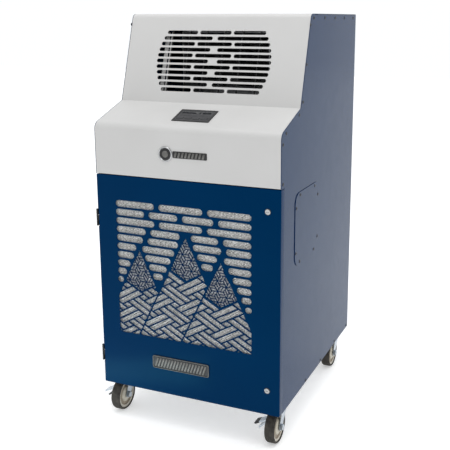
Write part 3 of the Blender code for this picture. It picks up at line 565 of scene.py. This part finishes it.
def door_rows():
    """Outlines of the upper field's slots, kept clear of the three peaks."""
    left, right = FIELD[:2]
    found = []
    for row in range(DOOR_ROWS):
        solid = []
        for name, (tip, _, _) in PEAKS.items():
            half = (tip[1] - row_height(row, tip[0])) / FLANK
            before, after, least = PEAK_ROOM[name]
            if half > -0.006:
                solid.append((tip[0] - max(half + before, least), tip[0] + max(half + after, least)))
        solid += [(x - ROW_BRIDGE / 2, x + ROW_BRIDGE / 2) for x in ROW_SPLITS.get(row, ())]
        start = left
        for low, high in sorted(solid) + [(right, right)]:
            if low - start >= SHORTEST_SLOT:
                found.append(row_slot(row, start, low))
            start = max(start, high)
    return found


def row_slot(row, left, right):
    slant = math.atan(-(ROW_SLANT + ROW_FAN * row))
    middle = (left + right) / 2
    height = row_height(row, middle)
    half = max((right - left) / 2, ROW_SLOT / 2 + 0.0001)
    level = slot_outline(half, min(ROW_SLOT, right - left))
    cosine, sine = math.cos(slant), math.sin(slant)
    return [(middle + x * cosine - y * sine, height + x * sine + y * cosine) for x, y in level]


def tidy(polygon):
    """A polygon without its shortest edges."""
    return [
        point
        for point, following in zip(polygon, polygon[1:] + polygon[:1])
        if math.dist(point, following) > SHORTEST_EDGE
    ]


def clip(polygon, point, normal):
    """The part of a convex polygon on the side of a line that its normal points to."""
    kept = []
    for (ax, ay), (bx, by) in zip(polygon, polygon[1:] + polygon[:1]):
        a = (ax - point[0]) * normal[0] + (ay - point[1]) * normal[1]
        b = (bx - point[0]) * normal[0] + (by - point[1]) * normal[1]
        if a >= 0:
            kept.append((ax, ay))
        if (a >= 0) != (b >= 0):
            t = a / (a - b)
            kept.append((ax + (bx - ax) * t, ay + (by - ay) * t))
    return kept


def area(polygon):
    total = 0.0
    for (ax, ay), (bx, by) in zip(polygon, polygon[1:] + polygon[:1]):
        total += ax * by - bx * ay
    return abs(total) / 2


def strands():
    """One repeat of a double-strand plain weave: openings as ranges along its two directions."""
    across = 2 * STRAND_X * STRAND_Z / math.hypot(STRAND_X, STRAND_Z)
    edge = STRAND_BAR / 2 / across
    rising = [(-2 + edge, 2 - edge, low + edge, low + 1 - edge) for low in (-1, 0)]
    falling = [(3 + low + edge, 4 + low - edge, -2 + edge, 2 - edge) for low in (-1, 0)]
    holes = [(x + edge, x + 1 - edge, y + edge, y + 1 - edge) for x, y in ((1, 1), (1, -2))]
    return rising + falling + holes


def openings(shapes, keep, least):
    """The shapes as the function keep clips them, without the smallest ones."""
    clipped = [tidy(keep(corners)) for corners in shapes]
    return [shape for shape in clipped if len(shape) > 2 and area(shape) > least]


def weave(anchor, keep):
    """Openings of the coarse weave about an anchor."""
    shapes = []
    for i in range(-6, 7):
        for j in range(-6, 7):
            if (i + j) % 2:
                continue
            for a0, a1, b0, b1 in strands():
                corners = [(a + 3 * i, b + 3 * j) for a, b in ((a0, b0), (a0, b1), (a1, b1), (a1, b0))]
                shapes.append([
                    (anchor[0] + (a + b) * STRAND_X, anchor[1] + (a - b) * STRAND_Z)
                    for a, b in corners
                ])
    return openings(shapes, keep, LEAST_OPENING * 5)


def dashes(anchor, keep):
    """Pairs of dashes that fill the three diamonds of each hexagon, for the caps."""
    turns = [(math.cos(math.radians(60 * k)), math.sin(math.radians(60 * k))) for k in range(6)]
    edge = CAP_BAR / 2 / (CAP_CELL * math.sin(math.pi / 3))
    shapes = []
    for i in range(-8, 9):
        for j in range(-10, 11):
            x = anchor[0] + 1.5 * CAP_CELL * i
            y = anchor[1] + CAP_CELL * math.sqrt(3) * (j + i / 2)
            for k in (0, 2, 4):
                along, up = turns[k], turns[(k + 2) % 6]
                for low in (0, 0.5):
                    ranges = [(edge, low + edge), (1 - edge, low + edge)]
                    ranges += [(1 - edge, low + 0.5 - edge), (edge, low + 0.5 - edge)]
                    shapes.append([
                        tuple(at + CAP_CELL * (s * p + t * q) for at, p, q in zip((x, y), along, up))
                        for s, t in ranges
                    ])
    return openings(shapes, keep, LEAST_OPENING)


def door_weave():
    """Openings inside the three peaks: fine in each cap, coarse below it."""
    left, right, bottom, _ = FIELD
    names = list(PEAKS)
    found = []
    for index, name in enumerate(names):
        tip, cap, anchor = PEAKS[name]

        edges = [(tip, (FLANK, -1)), (tip, (-FLANK, -1))]
        edges += [((left, 0), (1, 0)), ((right, 0), (-1, 0)), ((0, bottom), (0, 1))]
        if index + 1 < len(names):
            following = PEAKS[names[index + 1]][0]
            slant = STRAND_BAR * math.hypot(1, FLANK) / FLANK
            edges.append(((following[0] - slant, following[1]), (-FLANK, 1)))

        def inside(polygon, edges=edges):
            for point, normal in edges:
                polygon = clip(polygon, point, normal)
            return polygon

        def below(polygon, cap=cap, inside=inside):
            """Outside the notch that the cap's lower point makes."""
            polygon = inside(polygon)
            origin = (cap[0], cap[1] - 0.006)
            under_left = clip(polygon, origin, (-STRAND_Z, -STRAND_X))
            under_right = clip(polygon, origin, (STRAND_Z, -STRAND_X))
            return max((under_left, under_right), key=lambda p: area(p) if len(p) > 2 else 0)

        def above(polygon, cap=cap, inside=inside):
            polygon = clip(inside(polygon), cap, (STRAND_Z, STRAND_X))
            return clip(polygon, cap, (-STRAND_Z, STRAND_X))

        found += weave(anchor, below)
        found += dashes(cap, above)
    return found


# ---- door


def door_skin():
    """The pan door: a pierced front sheet that bends into a rim all round."""
    bend, steps = 0.0022, 4
    left, right = DOOR_LOW.x - CENTRE_X, DOOR_HIGH.x - CENTRE_X
    bottom, top = DOOR_LOW.z, DOOR_HIGH.z
    corner = 0.0008

    def ring(out):
        inset = bend - out
        return rectangle(left + inset, right - inset, bottom + inset, top - inset, corner + out, 3)

    holes = door_rows() + door_weave()
    for low, high in LATCHES.values():
        holes.append(circle((low.x + high.x) / 2 - CENTRE_X, high.z - LATCH_HEAD, LATCH_HOLE))
    made = flat_fill([ring(0.0), *holes])
    made.verts.ensure_lookup_table()
    known = {(round(v.co.x, 6), round(v.co.y, 6)): v for v in made.verts}
    previous = [known[(round(x, 6), round(y, 6))] for x, y in ring(0.0)]
    levels = [
        (bend * math.sin(math.pi / 2 * i / steps), -bend * (1 - math.cos(math.pi / 2 * i / steps)))
        for i in range(1, steps + 1)
    ]
    levels.append((bend, -DOOR_DEPTH))
    for out, depth in levels:
        current = [made.verts.new((x, y, depth)) for x, y in ring(out)]
        count = len(current)
        for k in range(count):
            m = (k + 1) % count
            made.faces.new((previous[k], current[k], current[m], previous[m]))
        previous = current
    bmesh.ops.translate(made, vec=(0, 0, -FRONT), verts=made.verts)
    door = piece("door_skin", mesh_of(made), BLUE, "door", ON_FRONT, ("door_panel",))
    wall = door.modifiers.new("sheet", "SOLIDIFY")
    wall.thickness = SHEET
    wall.offset = -1
    edge, gap = DOOR_LOW.x, 0.001
    leaves = [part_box(f"hinge_{name}_frame_leaf") for name in ("upper", "lower")]
    cut_boxes(door, [
        ((edge - 0.01, FRONT - 0.01, low.z - gap), (edge + 0.0035, FRONT + 0.0095, high.z + gap))
        for low, high in leaves
    ])
    door.data.shade_smooth()
    door.data.set_sharp_from_angle(angle=math.radians(30))
    for polygon in door.data.polygons:
        if abs(polygon.normal.z) > 0.999:
            polygon.use_smooth = False


def crumpled(x, z, seed, reach):
    coarse = noise.noise_vector(Vector((x * 45, seed * 3.1, z * 45)))
    fine = noise.noise_vector(Vector((x * 150, seed * 7.7, z * 150)))
    return (coarse * 0.7 + fine * 0.5) * reach


def expanded_layer(name, low, high, depth, cell, strand, reach, seed):
    """A crumpled sheet of expanded metal: a net of diamonds made of three-sided strands."""
    columns = int((high.x - low.x) / cell[0]) * 2
    rows = int((high.z - low.z) / cell[1]) * 2
    step_x, step_z = (high.x - low.x) / columns, (high.z - low.z) / rows

    def joint(i, j):
        x, z = low.x + i * step_x, low.z + j * step_z
        move = crumpled(x, z, seed, reach)
        return Vector((x + move.x * 0.55, depth + move.y, z + move.z * 0.55))

    verts, faces = [], []
    for i in range(columns):
        for j in range(rows + 1):
            if (i + j) % 2:
                continue
            for side in (-1, 1):
                if not 0 <= j + side <= rows:
                    continue
                start, end = joint(i, j), joint(i + 1, j + side)
                along = (end - start).normalized()
                flat = along.cross(Vector((0, 1, 0))).normalized() * strand / 2
                lean = Vector((0, 1, 0)) * strand * (0.30 * side)
                ridge = Vector((0, -1, 0)) * strand * 0.45
                first = len(verts)
                for place in (start, end):
                    verts += [place + flat + lean, place - flat - lean, place + ridge]
                for a, b in ((0, 1), (1, 2), (2, 0)):
                    faces.append((first + a, first + b, first + 3 + b, first + 3 + a))
    mesh = bpy.data.meshes.new(name)
    mesh.from_pydata(verts, [], faces)
    mesh.update()
    return piece(name, mesh, FILTER, "door")


def foil_backing(low, high, depth, pitch, reach):
    """A crumpled inner layer that closes the view through the filter."""
    made = bmesh.new()
    columns, rows = int((high.x - low.x) / pitch), int((high.z - low.z) / pitch)
    bmesh.ops.create_grid(made, x_segments=columns, y_segments=rows, size=0.5)
    random.seed(11)
    for vert in made.verts:
        x = low.x + (vert.co.x + 0.5) * (high.x - low.x)
        z = low.z + (vert.co.y + 0.5) * (high.z - low.z)
        inner = 0.002 < vert.co.x + 0.5 < 0.998 and 0.002 < vert.co.y + 0.5 < 0.998
        move = crumpled(x, z, 5, reach) + Vector([random.uniform(-0.3, 0.3) * reach for _ in range(3)])
        if not inner:
            move = Vector((0, move.y, 0))
        vert.co = (x + move.x * 0.5, depth + move.y, z + move.z * 0.5)
    bmesh.ops.triangulate(made, faces=made.faces, quad_method="SHORT_EDGE")
    bmesh.ops.recalc_face_normals(made, faces=made.faces)
    foil = piece("filter_backing", mesh_of(made), FOIL, "door")
    wall = foil.modifiers.new("foil", "SOLIDIFY")
    wall.thickness = 0.0004


def filter_pieces():
    low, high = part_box("filter_mesh")
    layer = expanded_layer(
        "filter_weave_front", low, high, low.y + 0.0020, (0.0115, 0.0075), 0.0021, 0.0030, 1
    )
    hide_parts("filter_mesh")
    expanded_layer("filter_weave_middle", low, high, low.y + 0.0052, (0.0100, 0.0085), 0.0022, 0.0034, 2)
    foil_backing(low, high, low.y + 0.0112, 0.0062, 0.0036)
    soften("filter_frame", 0.0008, ALUMINIUM)


def latches():
    """Each latch, and the thin dark seal round its head."""
    seal = [(0.0086, -0.0002), (0.0086, 0.0004), (0.0090, 0.0007), (0.0094, 0.0004), (0.0094, -0.0002)]
    for name, (low, high) in LATCHES.items():
        soften(name, 0.0004, CHROME)
        spot = Matrix.Translation(((low.x + high.x) / 2, FRONT, high.z - LATCH_HEAD)) @ UPRIGHT
        mesh = turned(seal, 40)
        piece(name + "_seal", mesh, BLACK_PLASTIC, "door", spot, smooth=40)


# ---- badges


def blades(left, right, bottom, top, count, slant, low, high, bevel):
    """A row of slanted bars, a plain ornament."""
    pitch = (right - left - slant) / count
    width = pitch * 0.60
    parts = []
    for i in range(count):
        x = left + pitch * i + (pitch - width) / 2
        outline = [(x, bottom), (x + width, bottom), (x + width + slant, top), (x + slant, top)]
        parts.append((plate([outline], low, high, bevel), IN_PLACE))
    return gathered(parts)


def upper_badge():
    low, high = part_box("badge_upper")
    radius = (high.z - low.z) / 2
    x, z = low.x + radius - CENTRE_X, (low.z + high.z) / 2
    end = high.x - CENTRE_X
    face = -FRONT
    spot = ON_FRONT @ Matrix.Translation((x, z, face))
    rim = [(0.0001, 0.0003), (radius, 0.0003), (radius, 0.0020), (radius - 0.0010, 0.0030)]
    rim += [(radius - 0.0032, 0.0030), (radius - 0.0042, 0.0016), (0.0001, 0.0016)]
    piece("badge_upper_disc", turned(rim, 64), CHROME, "cabinet", spot, ("badge_upper",), 35)
    dish = [(0.0001, 0.0017), (radius - 0.0046, 0.0017), (radius - 0.0046, 0.0020), (0.0001, 0.0020)]
    piece("badge_upper_dish", turned(dish, 48), BLACK_METAL, "cabinet", spot, smooth=35)
    boss = [(0.0001, 0.0020), (0.0100, 0.0020), (0.0100, 0.0028), (0.0093, 0.0034), (0.0001, 0.0034)]
    piece("badge_upper_boss", turned(boss, 48), SILVER, "cabinet", spot, smooth=35)
    bar = rectangle(x + radius + 0.0010, end, z - 0.0100, z + 0.0100, 0.003)
    base = plate([bar], face + 0.0003, face + 0.0014, 0.0004)
    piece("badge_upper_bar", base, BLACK_METAL, "cabinet", ON_FRONT, smooth=30)
    row = blades(
        x + radius + 0.0035, end - 0.0025, z - 0.0078, z + 0.0078, 9, 0.0045,
        face + 0.0014, face + 0.0032, 0.0005,
    )
    piece("badge_upper_blades", row, SILVER, "cabinet", ON_FRONT, smooth=30)


def lower_badge():
    low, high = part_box("badge_lower")
    face = -FRONT
    left, right = low.x - CENTRE_X, high.x - CENTRE_X
    outer = rectangle(left, right, low.z, high.z, 0.006)
    base = plate([outer], face + 0.0003, face + 0.0022, 0.0006)
    piece("badge_lower_base", base, BADGE_GREY, "door", ON_FRONT, ("badge_lower",), 30)
    inner = rectangle(left + 0.0022, right - 0.0022, low.z + 0.0022, high.z - 0.0022, 0.0042)
    frame_mesh = plate([outer, inner], face + 0.0022, face + 0.0040, 0.0006)
    piece("badge_lower_frame", frame_mesh, SILVER, "door", ON_FRONT, smooth=30)
    row = blades(
        left + 0.0045, right - 0.0045, low.z + 0.0052, high.z - 0.0052, 17, 0.0100,
        face + 0.0022, face + 0.0046, 0.0008,
    )
    piece("badge_lower_blades", row, SILVER, "door", ON_FRONT, smooth=30)


# ---- casing


def casing():
    soften("upper_shroud", 0.0007, WHITE, 35, 3)
    for node in ("left_side_panel", "right_side_panel", "top_panel", "right_access_cover"):
        soften(node, 0.0005, BLUE, 30)
    soften("rear_panel", 0.0003, BLUE, 30, 1)
    soften("base_pan", 0.0006, GALVANISED)
    soften("blower_shelf", 0.0003, GALVANISED)
    soften("outlet_guard", 0.0003, BLACK_METAL, 30, 1)


def screw_head(radius, height):
    """A pan head with a cross recess."""
    steps = 6
    profile = [(0.0001, 0.0), (radius, 0.0), (radius, height * 0.35)]
    for i in range(1, steps + 1):
        angle = math.pi / 2 * i / steps
        level = height * (0.35 + 0.65 * math.sin(angle))
        profile.append((max(radius * math.cos(angle), 0.0001), level))
    head = placed("head", turned(profile, 24))
    arm, width = radius * 0.62, radius * 0.13
    recess = (((-arm, -width), (arm, width)), ((-width, -arm), (width, arm)))
    cut_boxes(head, [((*low, height * 0.45), (*high, height + 0.01)) for low, high in recess])
    mesh = head.data
    bpy.data.objects.remove(head)
    return mesh


def screws(name, spots, plane, height, material=BLACK_METAL, slot="black_metal", mesh=None):
    """Screws on one flat face, each turned to its own angle."""
    random.seed(len(name))
    parts = []
    for x, y in spots:
        turn = Matrix.Rotation(random.uniform(0, math.pi), 4, "Z")
        parts.append((mesh or SCREW, Matrix.Translation((x, y, height)) @ turn))
    made = gathered(parts)
    piece(name, made, material, "cabinet", plane, smooth=40)


def side_screws():
    """Black screws along the side panels' edges, and round the access cover."""
    top_row = [(y, 1.257) for y in (-0.102, 0.006, 0.116, 0.223, 0.333)]
    front_row = [(-0.134, 1.237), (-0.164, 1.125), (-0.192, 1.019), (-0.2225, 0.985)]
    front_row += [(-0.331, 0.947), (-0.355, 0.919), (-0.3535, 0.808)]
    foot_row = [(y, 0.1185) for y in (-0.129, 0.031, 0.195, 0.350)]
    spots = top_row + front_row + foot_row
    looks = (BLACK_PLASTIC, "black_plastic")
    screws("right_side_screws", spots, ON_RIGHT, SIDE, *looks)
    screws("left_side_screws", [(-y, z) for y, z in spots], ON_LEFT, SIDE, *looks)
    low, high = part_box("right_access_cover")
    y, z = (low.y + high.y) / 2, (low.z + high.z) / 2
    near_y, near_z = (high.y - low.y) / 2 - 0.0095, (high.z - low.z) / 2 - 0.0095
    far_y, far_z = near_y - 0.034, near_z - 0.034
    ring = [(y + sy * near_y, z + sz * far_z) for sy in (-1, 1) for sz in (-1, 1)]
    ring += [(y + sy * far_y, z + sz * near_z) for sy in (-1, 1) for sz in (-1, 1)]
    screws("cover_screws", ring, ON_RIGHT, high.x - CENTRE_X, *looks)


def rear_details():
    """Screws round the rear panel, and a hexagonal nut on the gland."""
    low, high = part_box("rear_panel")
    edge = high.x - CENTRE_X - 0.010
    spots = [(sign * edge, z) for sign in (-1, 1) for z in (0.145, 0.37, 0.60, 0.83, 1.06, 1.245)]
    spots += [(x, 1.245) for x in (-0.15, 0.0, 0.15)]
    screws("rear_screws", spots, ON_REAR, REAR)
    gland_low, gland_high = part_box("cable_gland")
    x, z = (gland_low.x + gland_high.x) / 2 - CENTRE_X, (gland_low.z + gland_high.z) / 2
    nut = plate([circle(-x, z, 0.0165, 6), circle(-x, z, 0.0142, 24)], REAR, REAR + 0.0055, 0.0006)
    piece("gland_nut", nut, BLACK_PLASTIC, "cabinet", ON_REAR, smooth=30)
    for node in ("cable_gland", "drain_outlet"):
        soften(node, 0.0004, BLACK_PLASTIC)


def outlet_bracket():
    """Two upright pale strips that show behind the left end of the outlet."""
    parts = []
    for left, right in ((-0.1800, -0.1670), (-0.1620, -0.1580)):
        strip = box((left, 0.038, -0.0212), (right, 0.226, -0.020), 0.0004)
        parts.append((strip, IN_PLACE))
    piece("outlet_bracket", gathered(parts), WHITE, "cabinet", FACE)


# ---- control panel


def control_panel():
    soften("control_bezel", 0.0005, BLACK_PLASTIC)
    soften("display_window", 0.0004, WINDOW)
    for i in range(1, 5):
        soften(f"key_{i}", 0.0005, KEY_GREY)
    middle, half_x, half_y = 0.0815, 0.0535, 0.0310
    tray = 0.0016
    openings = [rectangle(-0.0490, 0.0130, middle + 0.0100, middle + 0.0260)]
    for x in (-0.039, -0.013, 0.013, 0.039):
        openings.append(rectangle(x - 0.0110, x + 0.0110, middle - 0.0255, middle - 0.0125))
    outline = rectangle(-half_x, half_x, middle - half_y, middle + half_y, 0.002)
    film = plate([outline, *openings], tray, tray + 0.0004, 0.0001)
    piece("panel_film", film, PANEL_GREY, "cabinet", DECK)
    lamps = rectangle(0.0190, 0.0470, middle + 0.0115, middle + 0.0245, 0.002)
    stripe = rectangle(-0.0490, 0.0490, middle - 0.0060, middle + 0.0050, 0.002)
    for name, outline, material, slot in (
        ("panel_lamp_window", lamps, WINDOW, "display_window"),
        ("panel_stripe", stripe, KEY_GREY, "key_grey"),
    ):
        raised = plate([outline], tray + 0.0004, tray + 0.0007, 0.0001)
        piece(name, raised, material, "cabinet", DECK)


# ---- casters


def ribbed_tyre(radius, half, inner):
    """A tyre whose tread has shallow grooves round it and fine ribs across it."""
    steps, grooves = 168, 4
    side = [(inner, half - 0.0035), (inner + 0.0012, half - 0.0005), (inner + 0.0034, half)]
    side += [(radius - 0.0018, half - 0.0018), (radius - 0.0005, half - 0.0042)]
    edge = half - 0.0056
    tread = []
    for i in range(grooves * 4 + 1):
        dip = 0.0009 if i % 4 == 2 else 0.0
        tread.append((radius - dip, edge - 2 * edge * i / (grooves * 4)))
    mesh = turned(side + tread + [(r, -h) for r, h in reversed(side)], steps)
    for vert in mesh.vertices:
        distance = math.hypot(vert.co.x, vert.co.y)
        if distance > radius - 0.0010:
            index = round(math.atan2(vert.co.y, vert.co.x) / TURN * steps) % steps
            if index % 2:
                scale = (distance - 0.00055) / distance
                vert.co.x *= scale
                vert.co.y *= scale
    return mesh


def wheel_core(outer):
    """Moulded wheel centre: rim ring, recessed groove and a domed cover, the same on both sides."""
    core = [
        (0.0066, 0.0148), (0.0150, 0.0148), (0.0165, 0.0144), (0.0225, 0.0133),
        (0.0243, 0.0122), (0.0256, 0.0086), (0.0275, 0.0080), (0.0352, 0.0080),
        (0.0366, 0.0116), (0.0378, 0.0124), (0.0410, 0.0129), (outer, 0.0126),
    ]
    core += [(radius, -height) for radius, height in reversed(core)]
    return turned(core, 72)


def bearing_race():
    """Balls and a dust ring between the caster's cup and its fork."""
    ball = bmesh.new()
    bmesh.ops.create_uvsphere(ball, u_segments=10, v_segments=6, radius=0.0017)
    ball_mesh = mesh_of(ball)
    count = 16
    parts = []
    for i in range(count):
        angle = TURN * i / count
        spot = (0.0262 * math.cos(angle), 0.0262 * math.sin(angle), 0.1158)
        parts.append((ball_mesh, Matrix.Translation(spot)))
    ring = turned([(0.0248, 0.1130), (0.0272, 0.1130), (0.0272, 0.1145), (0.0248, 0.1145)], 40)
    parts.append((ring, IN_PLACE))
    return gathered(parts)


def casters():
    tyre_low, tyre_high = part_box("caster_front_left_tyre")
    radius = (tyre_high.z - tyre_low.z) / 2
    half = (tyre_high.x - tyre_low.x) / 2
    inner = 0.0439
    tyre = ribbed_tyre(radius, half, inner)
    core = wheel_core(inner - 0.0002)
    race = bearing_race()
    for row in ("front", "rear"):
        for side in ("left", "right"):
            name = f"caster_{row}_{side}"
            low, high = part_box(name + "_tyre")
            plate_low, plate_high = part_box(name + "_plate")
            hub = Matrix.Translation((low + high) / 2) @ Matrix.Rotation(math.pi / 2, 4, "Y")
            swivel = Matrix.Translation(
                ((plate_low.x + plate_high.x) / 2, (plate_low.y + plate_high.y) / 2, 0)
            )
            for part, mesh, material, body, matrix, slot, instead, smooth in (
                ("_tread", tyre, RUBBER, "_roller", hub, "tyre_rubber", (name + "_tyre",), 25),
                ("_core", core, CREAM, "_roller", hub, "hub_plastic", (name + "_wheel",), 35),
                ("_race", race, ZINC, "_swivel", swivel, "zinc_plate", (), 40),
            ):
                piece(name + part, mesh.copy(), material, name + body, matrix, instead, smooth)
            soften(name + "_fork", 0.0006, ZINC)
            soften(name + "_axle", 0.0006, ZINC)
            soften(name + "_plate", 0.0005, ZINC)
            corners = [(sx * 0.0225, sy * 0.034) for sx in (-1, 1) for sy in (-1, 1)]
            bolts = gathered([(BOLT, Matrix.Translation((x, y, 0))) for x, y in corners])
            down = Matrix.Rotation(math.pi, 4, "X")
            under = swivel @ Matrix.Translation((0, 0, plate_high.z - 0.0030)) @ down
            piece(name + "_bolts", bolts, ZINC, "cabinet", under, (), 30)
    for side in ("left", "right"):
        soften(f"brake_lever_{side}", 0.0005, ZINC)
    pedal_tips()


def pedal_tips():
    """Black dip coating on the lower tab of the left pedal and the upper tab of the right one."""
    for side in ("left", "right"):
        low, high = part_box(f"brake_lever_{side}")
        upper = side == "right"
        if upper:
            a, b = Vector((low.x + 0.0003, 0, 0.0531)), Vector((low.x + 0.0148, 0, 0.0599))
        else:
            a, b = Vector((low.x + 0.0139, 0, 0.0422)), Vector((low.x + 0.0248, 0, 0.0511))
        along = (b - a).normalized()
        up = Vector((0, 1, 0)).cross(along)
        middle_y = (low.y + high.y) / 2
        basis = Matrix((along, Vector((0, 1, 0)), up)).transposed().to_4x4()
        spot = Matrix.Translation((a.x, middle_y, a.z)) @ basis
        length, wide = (b - a).length, (high.y - low.y) / 2 + 0.0008
        tip = box((-0.0008, -wide, -0.0028), (length, wide, 0.0028), 0.0012, 3)
        piece(f"pedal_tip_{side}", tip, BLACK_PLASTIC, f"brake_{side}", spot, smooth=40)


# ---- inside


def coil(node, rows, tube_columns):
    """A finned coil: thin fins on copper tubes, two end plates and the return bends outside them."""
    low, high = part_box(node)
    bend_room, fin_pitch, fin = 0.024, 0.0028, 0.00035
    left, right = low.x + bend_room, high.x - bend_room
    made = bmesh.new()
    count = int((right - left) / fin_pitch)
    for i in range(1, count):
        x = left + fin_pitch * i
        one = box((x, low.y + 0.001, low.z + 0.002), (x + fin, high.y - 0.001, high.z - 0.002))
        made.from_mesh(one)
        bpy.data.meshes.remove(one)
    piece(node + "_fins", mesh_of(made), ALUMINIUM, "cabinet", instead=(node,))
    ends = []
    for x in (left - 0.0012, right):
        ends.append((box((x, low.y, low.z), (x + 0.0012, high.y, high.z), 0.0004), IN_PLACE))
    piece(node + "_end_plates", gathered(ends), GALVANISED, "cabinet")
    pitch = (high.z - low.z) / rows
    paths = []
    for column in tube_columns:
        y = low.y + (high.y - low.y) * column
        for k in range(rows):
            z = low.z + pitch * (k + 0.5)
            paths.append([(left - 0.004, y, z), (right + 0.004, y, z)])
        for side, x, first in ((-1, left, 0), (1, right, 1)):
            for k in range(first, rows - 1, 2):
                middle = low.z + pitch * (k + 1)
                path = []
                for i in range(13):
                    angle = math.pi * i / 12
                    out = (0.004 + pitch / 2 * math.sin(angle)) * side
                    path.append((x + out, y, middle - pitch / 2 * math.cos(angle)))
                paths.append([(x, y, middle - pitch / 2), *path, (x, y, middle + pitch / 2)])
    tubes(node + "_tubes", paths, 0.0042, COPPER, "cabinet", 2)


def refrigerant_lines():
    """Copper lines from the compressor to the two coils."""
    can_low, can_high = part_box("compressor")
    x, y, top = (can_low.x + can_high.x) / 2, (can_low.y + can_high.y) / 2, can_high.z
    cond_low, cond_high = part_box("condenser_coil")
    evap_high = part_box("evaporator_coil")[1]
    level, start, end = top + 0.07, x + 0.02, cond_high.x - 0.010
    hot = [(start, y, top - 0.012), (start, y, level), (start, -0.08, level)]
    hot += [(end, -0.08, level), (end, cond_high.y + 0.004, level)]
    level, start, end = top + 0.11, x - 0.03, cond_low.x - 0.004
    behind = evap_high.y - 0.02
    cold = [(start, y, top - 0.016), (start, y, level), (start, -0.12, level)]
    cold += [(end, -0.12, level), (end, behind, level), (cond_low.x + 0.010, behind, level)]
    tubes("hot_gas_line", [bent(hot, 0.022)], 0.0048, COPPER, "cabinet", 3)
    tubes("suction_line", [bent(cold, 0.012)], 0.0064, COPPER, "cabinet", 3)


def compressor_details():
    soften("compressor", 0.0012, ENAMEL, 40, 3)
    low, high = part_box("compressor")
    x, y = (low.x + high.x) / 2, (low.y + high.y) / 2
    radius = 0.072
    seam_z = low.z + 0.175
    inner, outer = radius - 0.0005, radius + 0.0022
    seam = [(inner, -0.004), (outer, -0.002), (outer, 0.002), (inner, 0.004)]
    seam = [(r, seam_z + height) for r, height in seam]
    spot = Matrix.Translation((x, y, 0))
    piece("compressor_seam", turned(seam, 64), ENAMEL, "cabinet", spot, smooth=40)
    foot, rise = low.z + 0.105, 0.045
    cap = box((-0.018, -radius - 0.016, foot), (0.018, -radius + 0.006, foot + rise), 0.003, 3)
    piece("compressor_terminal_cover", cap, BLACK_PLASTIC, "cabinet", spot, smooth=40)


def blower_details():
    for node in ("blower_housing", "electrical_box", "drip_tray"):
        soften(node, 0.0005, GALVANISED)
    soften("blower_motor", 0.0015, ENAMEL, 40, 3)
    blower = frame["nodes"]["blower_wheel"].data
    blower.materials.clear()
    blower.materials.append(BLACK_METAL)
    low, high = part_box("electrical_box")
    ring = [(x, y) for x in (low.x + 0.012, high.x - 0.012) for y in (low.y + 0.012, high.y - 0.012)]
    screws("wiring_box_screws", ring, IN_PLACE, high.z, ZINC, "zinc_plate")


def hinges():
    for name in ("upper", "lower"):
        for leaf in ("frame", "door"):
            soften(f"hinge_{name}_{leaf}_leaf", 0.0003, BLACK_METAL)
        soften(f"hinge_{name}_pin", 0.0003, BLACK_METAL)
        low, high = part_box(f"hinge_{name}_frame_leaf")
        z = (low.z + high.z) / 2
        spots = [(x, z + dz) for x in (0.3480, 0.3280) for dz in (-0.018, 0.018)]
        small = gathered([(SCREW, Matrix.Scale(0.55, 4))])
        screws(f"hinge_{name}_screws", spots, ON_LEFT, SIDE + 0.0018, mesh=small)


# ---- camera, light and floor


def camera():
    data = bpy.data.cameras.new("camera")
    data.lens = 60.317
    data.sensor_width = 36
    data.shift_x = -0.0600
    data.shift_y = -0.1000
    data.clip_end = 60
    made = placed("camera", data)
    made.location = (0.99975 + CENTRE_X, -2.25906, 1.25614)
    made.rotation_euler = (math.radians(90 - 12.109), 0, math.radians(22.583))
    bpy.context.scene.camera = made


def softbox(name, location, target, size, power, colour=(1, 1, 1)):
    data = bpy.data.lights.new(name, "AREA")
    data.shape = "RECTANGLE"
    data.size, data.size_y = size
    data.energy = power
    data.color = colour
    made = placed(name, data)
    made.location = location
    made.rotation_euler = (Vector(target) - Vector(location)).to_track_quat("-Z", "Y").to_euler()


def studio():
    world = bpy.data.worlds.new("studio")
    world.use_nodes = True
    nodes, links = world.node_tree.nodes, world.node_tree.links
    nodes["Background"].inputs["Color"].default_value = (0.97, 0.985, 1.0, 1)
    direction = nodes.new("ShaderNodeTexCoord")
    split = nodes.new("ShaderNodeSeparateXYZ")
    links.new(direction.outputs["Generated"], split.inputs["Vector"])
    fall = nodes.new("ShaderNodeMapRange")
    set_sockets(fall, {"From Min": -0.8, "From Max": 0.1, "To Min": 0.68, "To Max": 1.03})
    links.new(split.outputs["Y"], fall.inputs["Value"])
    links.new(fall.outputs["Result"], nodes["Background"].inputs["Strength"])
    bpy.context.scene.world = world
    aim = (CENTRE_X, 0, 0.7)
    softbox("key", (-1.6, -2.6, 2.6), aim, (1.6, 1.6), 3, (1.0, 0.985, 0.96))
    softbox("top", (0.3, -0.4, 3.2), aim, (2.0, 2.0), 27)
    glow = (CENTRE_X - 0.36, FRONT - 0.22, 0.03)
    softbox("foot_glow", glow, (CENTRE_X - 0.28, FRONT, 0.14), (0.56, 0.08), 0.36, (0.80, 0.99, 1.0))
    made = bmesh.new()
    bmesh.ops.create_grid(made, x_segments=1, y_segments=1, size=14)
    floor = placed("floor", mesh_of(made))
    floor.data.materials.append(floor_white())
    bpy.context.scene.view_settings.view_transform = "Standard"


# ---- the whole

SCREW = screw_head(0.0050, 0.0013)
BOLT = plate([circle(0, 0, 0.0060, 6)], 0, 0.0040, 0.0006)

camera()
studio()
door_skin()
filter_pieces()
latches()
upper_badge()
lower_badge()
casing()
side_screws()
rear_details()
outlet_bracket()
control_panel()
casters()
coil("evaporator_coil", 24, (0.28, 0.72))
coil("condenser_coil", 24, (0.5,))
refrigerant_lines()
compressor_details()
blower_details()
hinges()
